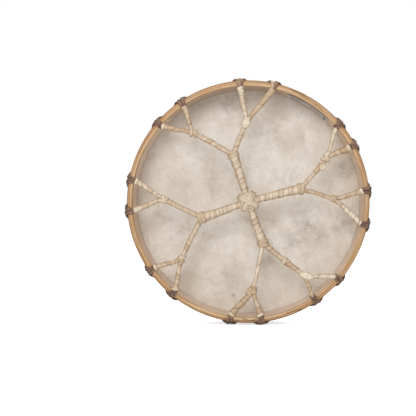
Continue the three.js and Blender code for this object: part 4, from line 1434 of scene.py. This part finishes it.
def make_floor(stage):
    """A plain level floor under the drum that glows to the camera and to nothing else."""
    mesh = bpy.data.meshes.new("floor")
    corners = ((-1, -1), (1, -1), (1, 1), (-1, 1))
    rim = [(x * FLOOR_HALF, y * FLOOR_HALF, CAD_BOX[0][2]) for x, y in corners]
    mesh.from_pydata(rim, [], [(0, 1, 2, 3)])
    paper = Look("pale_paper")
    blotch = paper.group("blotch_and_speck", 3.0, 120.0, 0.9)["Blotch"]
    seen = add(paper.tree, "ShaderNodeLightPath").outputs["Is Camera Ray"]
    wire(paper.tree, paper.shader, {
        "Base Color": paper.layers(stage.floor, (paper.remap(blotch, 0.0, 1.0, 0.02), (0.9, 0.9, 0.9))),
        "Roughness": 0.95,
        "Specular IOR Level": 0.0,
        "Emission Color": paper.layers((0, 0, 0), (seen, WHITE)),
        "Emission Strength": stage.glow,
    })
    mesh.materials.append(paper.made)
    put("floor", mesh)


def make_sky(stage):
    """A sky that is white to the camera and lights the drum softly from all round."""
    world = bpy.data.worlds.new("white_sky")
    world.use_nodes = True
    tree = world.node_tree
    tree.nodes.clear()
    seen = add(tree, "ShaderNodeLightPath").outputs["Is Camera Ray"]
    soft, bright = (
        add(tree, "ShaderNodeBackground", {"Color": (*WHITE, 1.0), "Strength": strength}).outputs[0]
        for strength in (stage.sky, 1.0)
    )
    either = add(tree, "ShaderNodeMixShader", {0: seen, 1: soft, 2: bright}).outputs[0]
    add(tree, "ShaderNodeOutputWorld", {0: either})
    bpy.context.scene.world = world


class MakeStage(bpy.types.Operator):
    """Builds the floor, the soft lights, the sky and the camera."""

    bl_idname = "frame_drum.make_stage"
    bl_label = "Stage"

    def execute(self, context):
        scene, stage = context.scene, context.scene.drum_stage
        make_floor(stage)
        for name, place, power in LAMPS:
            lamp = bpy.data.lights.new(name, "AREA")
            lamp.shape, lamp.size, lamp.energy = "DISK", LAMP_SIZE, stage.key * power
            holder = put(name, lamp)
            holder.location = place
            holder.rotation_mode = "QUATERNION"
            aim = -np.array(place) / np.linalg.norm(place)
            holder.rotation_quaternion = Vector(aim).to_track_quat("-Z", "Y")
        make_sky(stage)
        scene.view_settings.view_transform = "Standard"
        lens = bpy.data.cameras.new("camera")
        lens.sensor_width, lens.lens = 36.0, stage.lens
        lens.shift_x, lens.shift_y = -0.0969, -0.0154
        lens.clip_start, lens.clip_end = 0.05, 100
        scene.camera = put("camera", lens)
        scene.camera.location = (HOOP_CENTRE[0], HOOP_CENTRE[1] + BACK / 1000 + stage.distance, HOOP_CENTRE[2])
        scene.camera.rotation_euler = (math.pi / 2, 0, math.pi)
        return DONE


class FrameDrumPanel(bpy.types.Panel):
    """Lists the drum's pieces in the sidebar, with their sizes and colours."""

    bl_idname = "VIEW3D_PT_frame_drum"
    bl_label = "Frame drum"
    bl_space_type = "VIEW_3D"
    bl_region_type = "UI"
    bl_category = "Frame Drum"

    def draw(self, context):
        for made in OPERATORS:
            self.layout.operator(made.bl_idname)
        for key in SETTINGS:
            group = getattr(context.scene, key)
            box = self.layout.box()
            for label in group.bl_rna.properties.keys():
                if label not in ("rna_type", "name"):
                    box.prop(group, label)


OPERATORS = [
    MakeHoop, MakeJointStrip, MakeSkin, MakeTies, MakeLegs, MakeCrotches, MakeStems, MakeHub, MakeStage,
]
SETTINGS = {
    "drum_hoop": FrameDrumHoop,
    "drum_skin": FrameDrumSkin,
    "drum_lacing": FrameDrumLacing,
    "drum_colours": FrameDrumColours,
    "drum_stage": FrameDrumStage,
}
CLASSES = [*SETTINGS.values(), *OPERATORS, FrameDrumPanel]


def register():
    for made in CLASSES:
        bpy.utils.register_class(made)
    for key, made in SETTINGS.items():
        setattr(bpy.types.Scene, key, bpy.props.PointerProperty(type=made))


def unregister():
    for key in SETTINGS:
        delattr(bpy.types.Scene, key)
    for made in reversed(CLASSES):
        bpy.utils.unregister_class(made)


def main():
    register()
    for made in OPERATORS:
        group, name = made.bl_idname.split(".")
        if getattr(getattr(bpy.ops, group), name)() != {"FINISHED"}:
            raise RuntimeError(f"{made.bl_label} wasn't finished")
    bpy.context.view_layer.update()


if __name__ == "__main__":
    main()
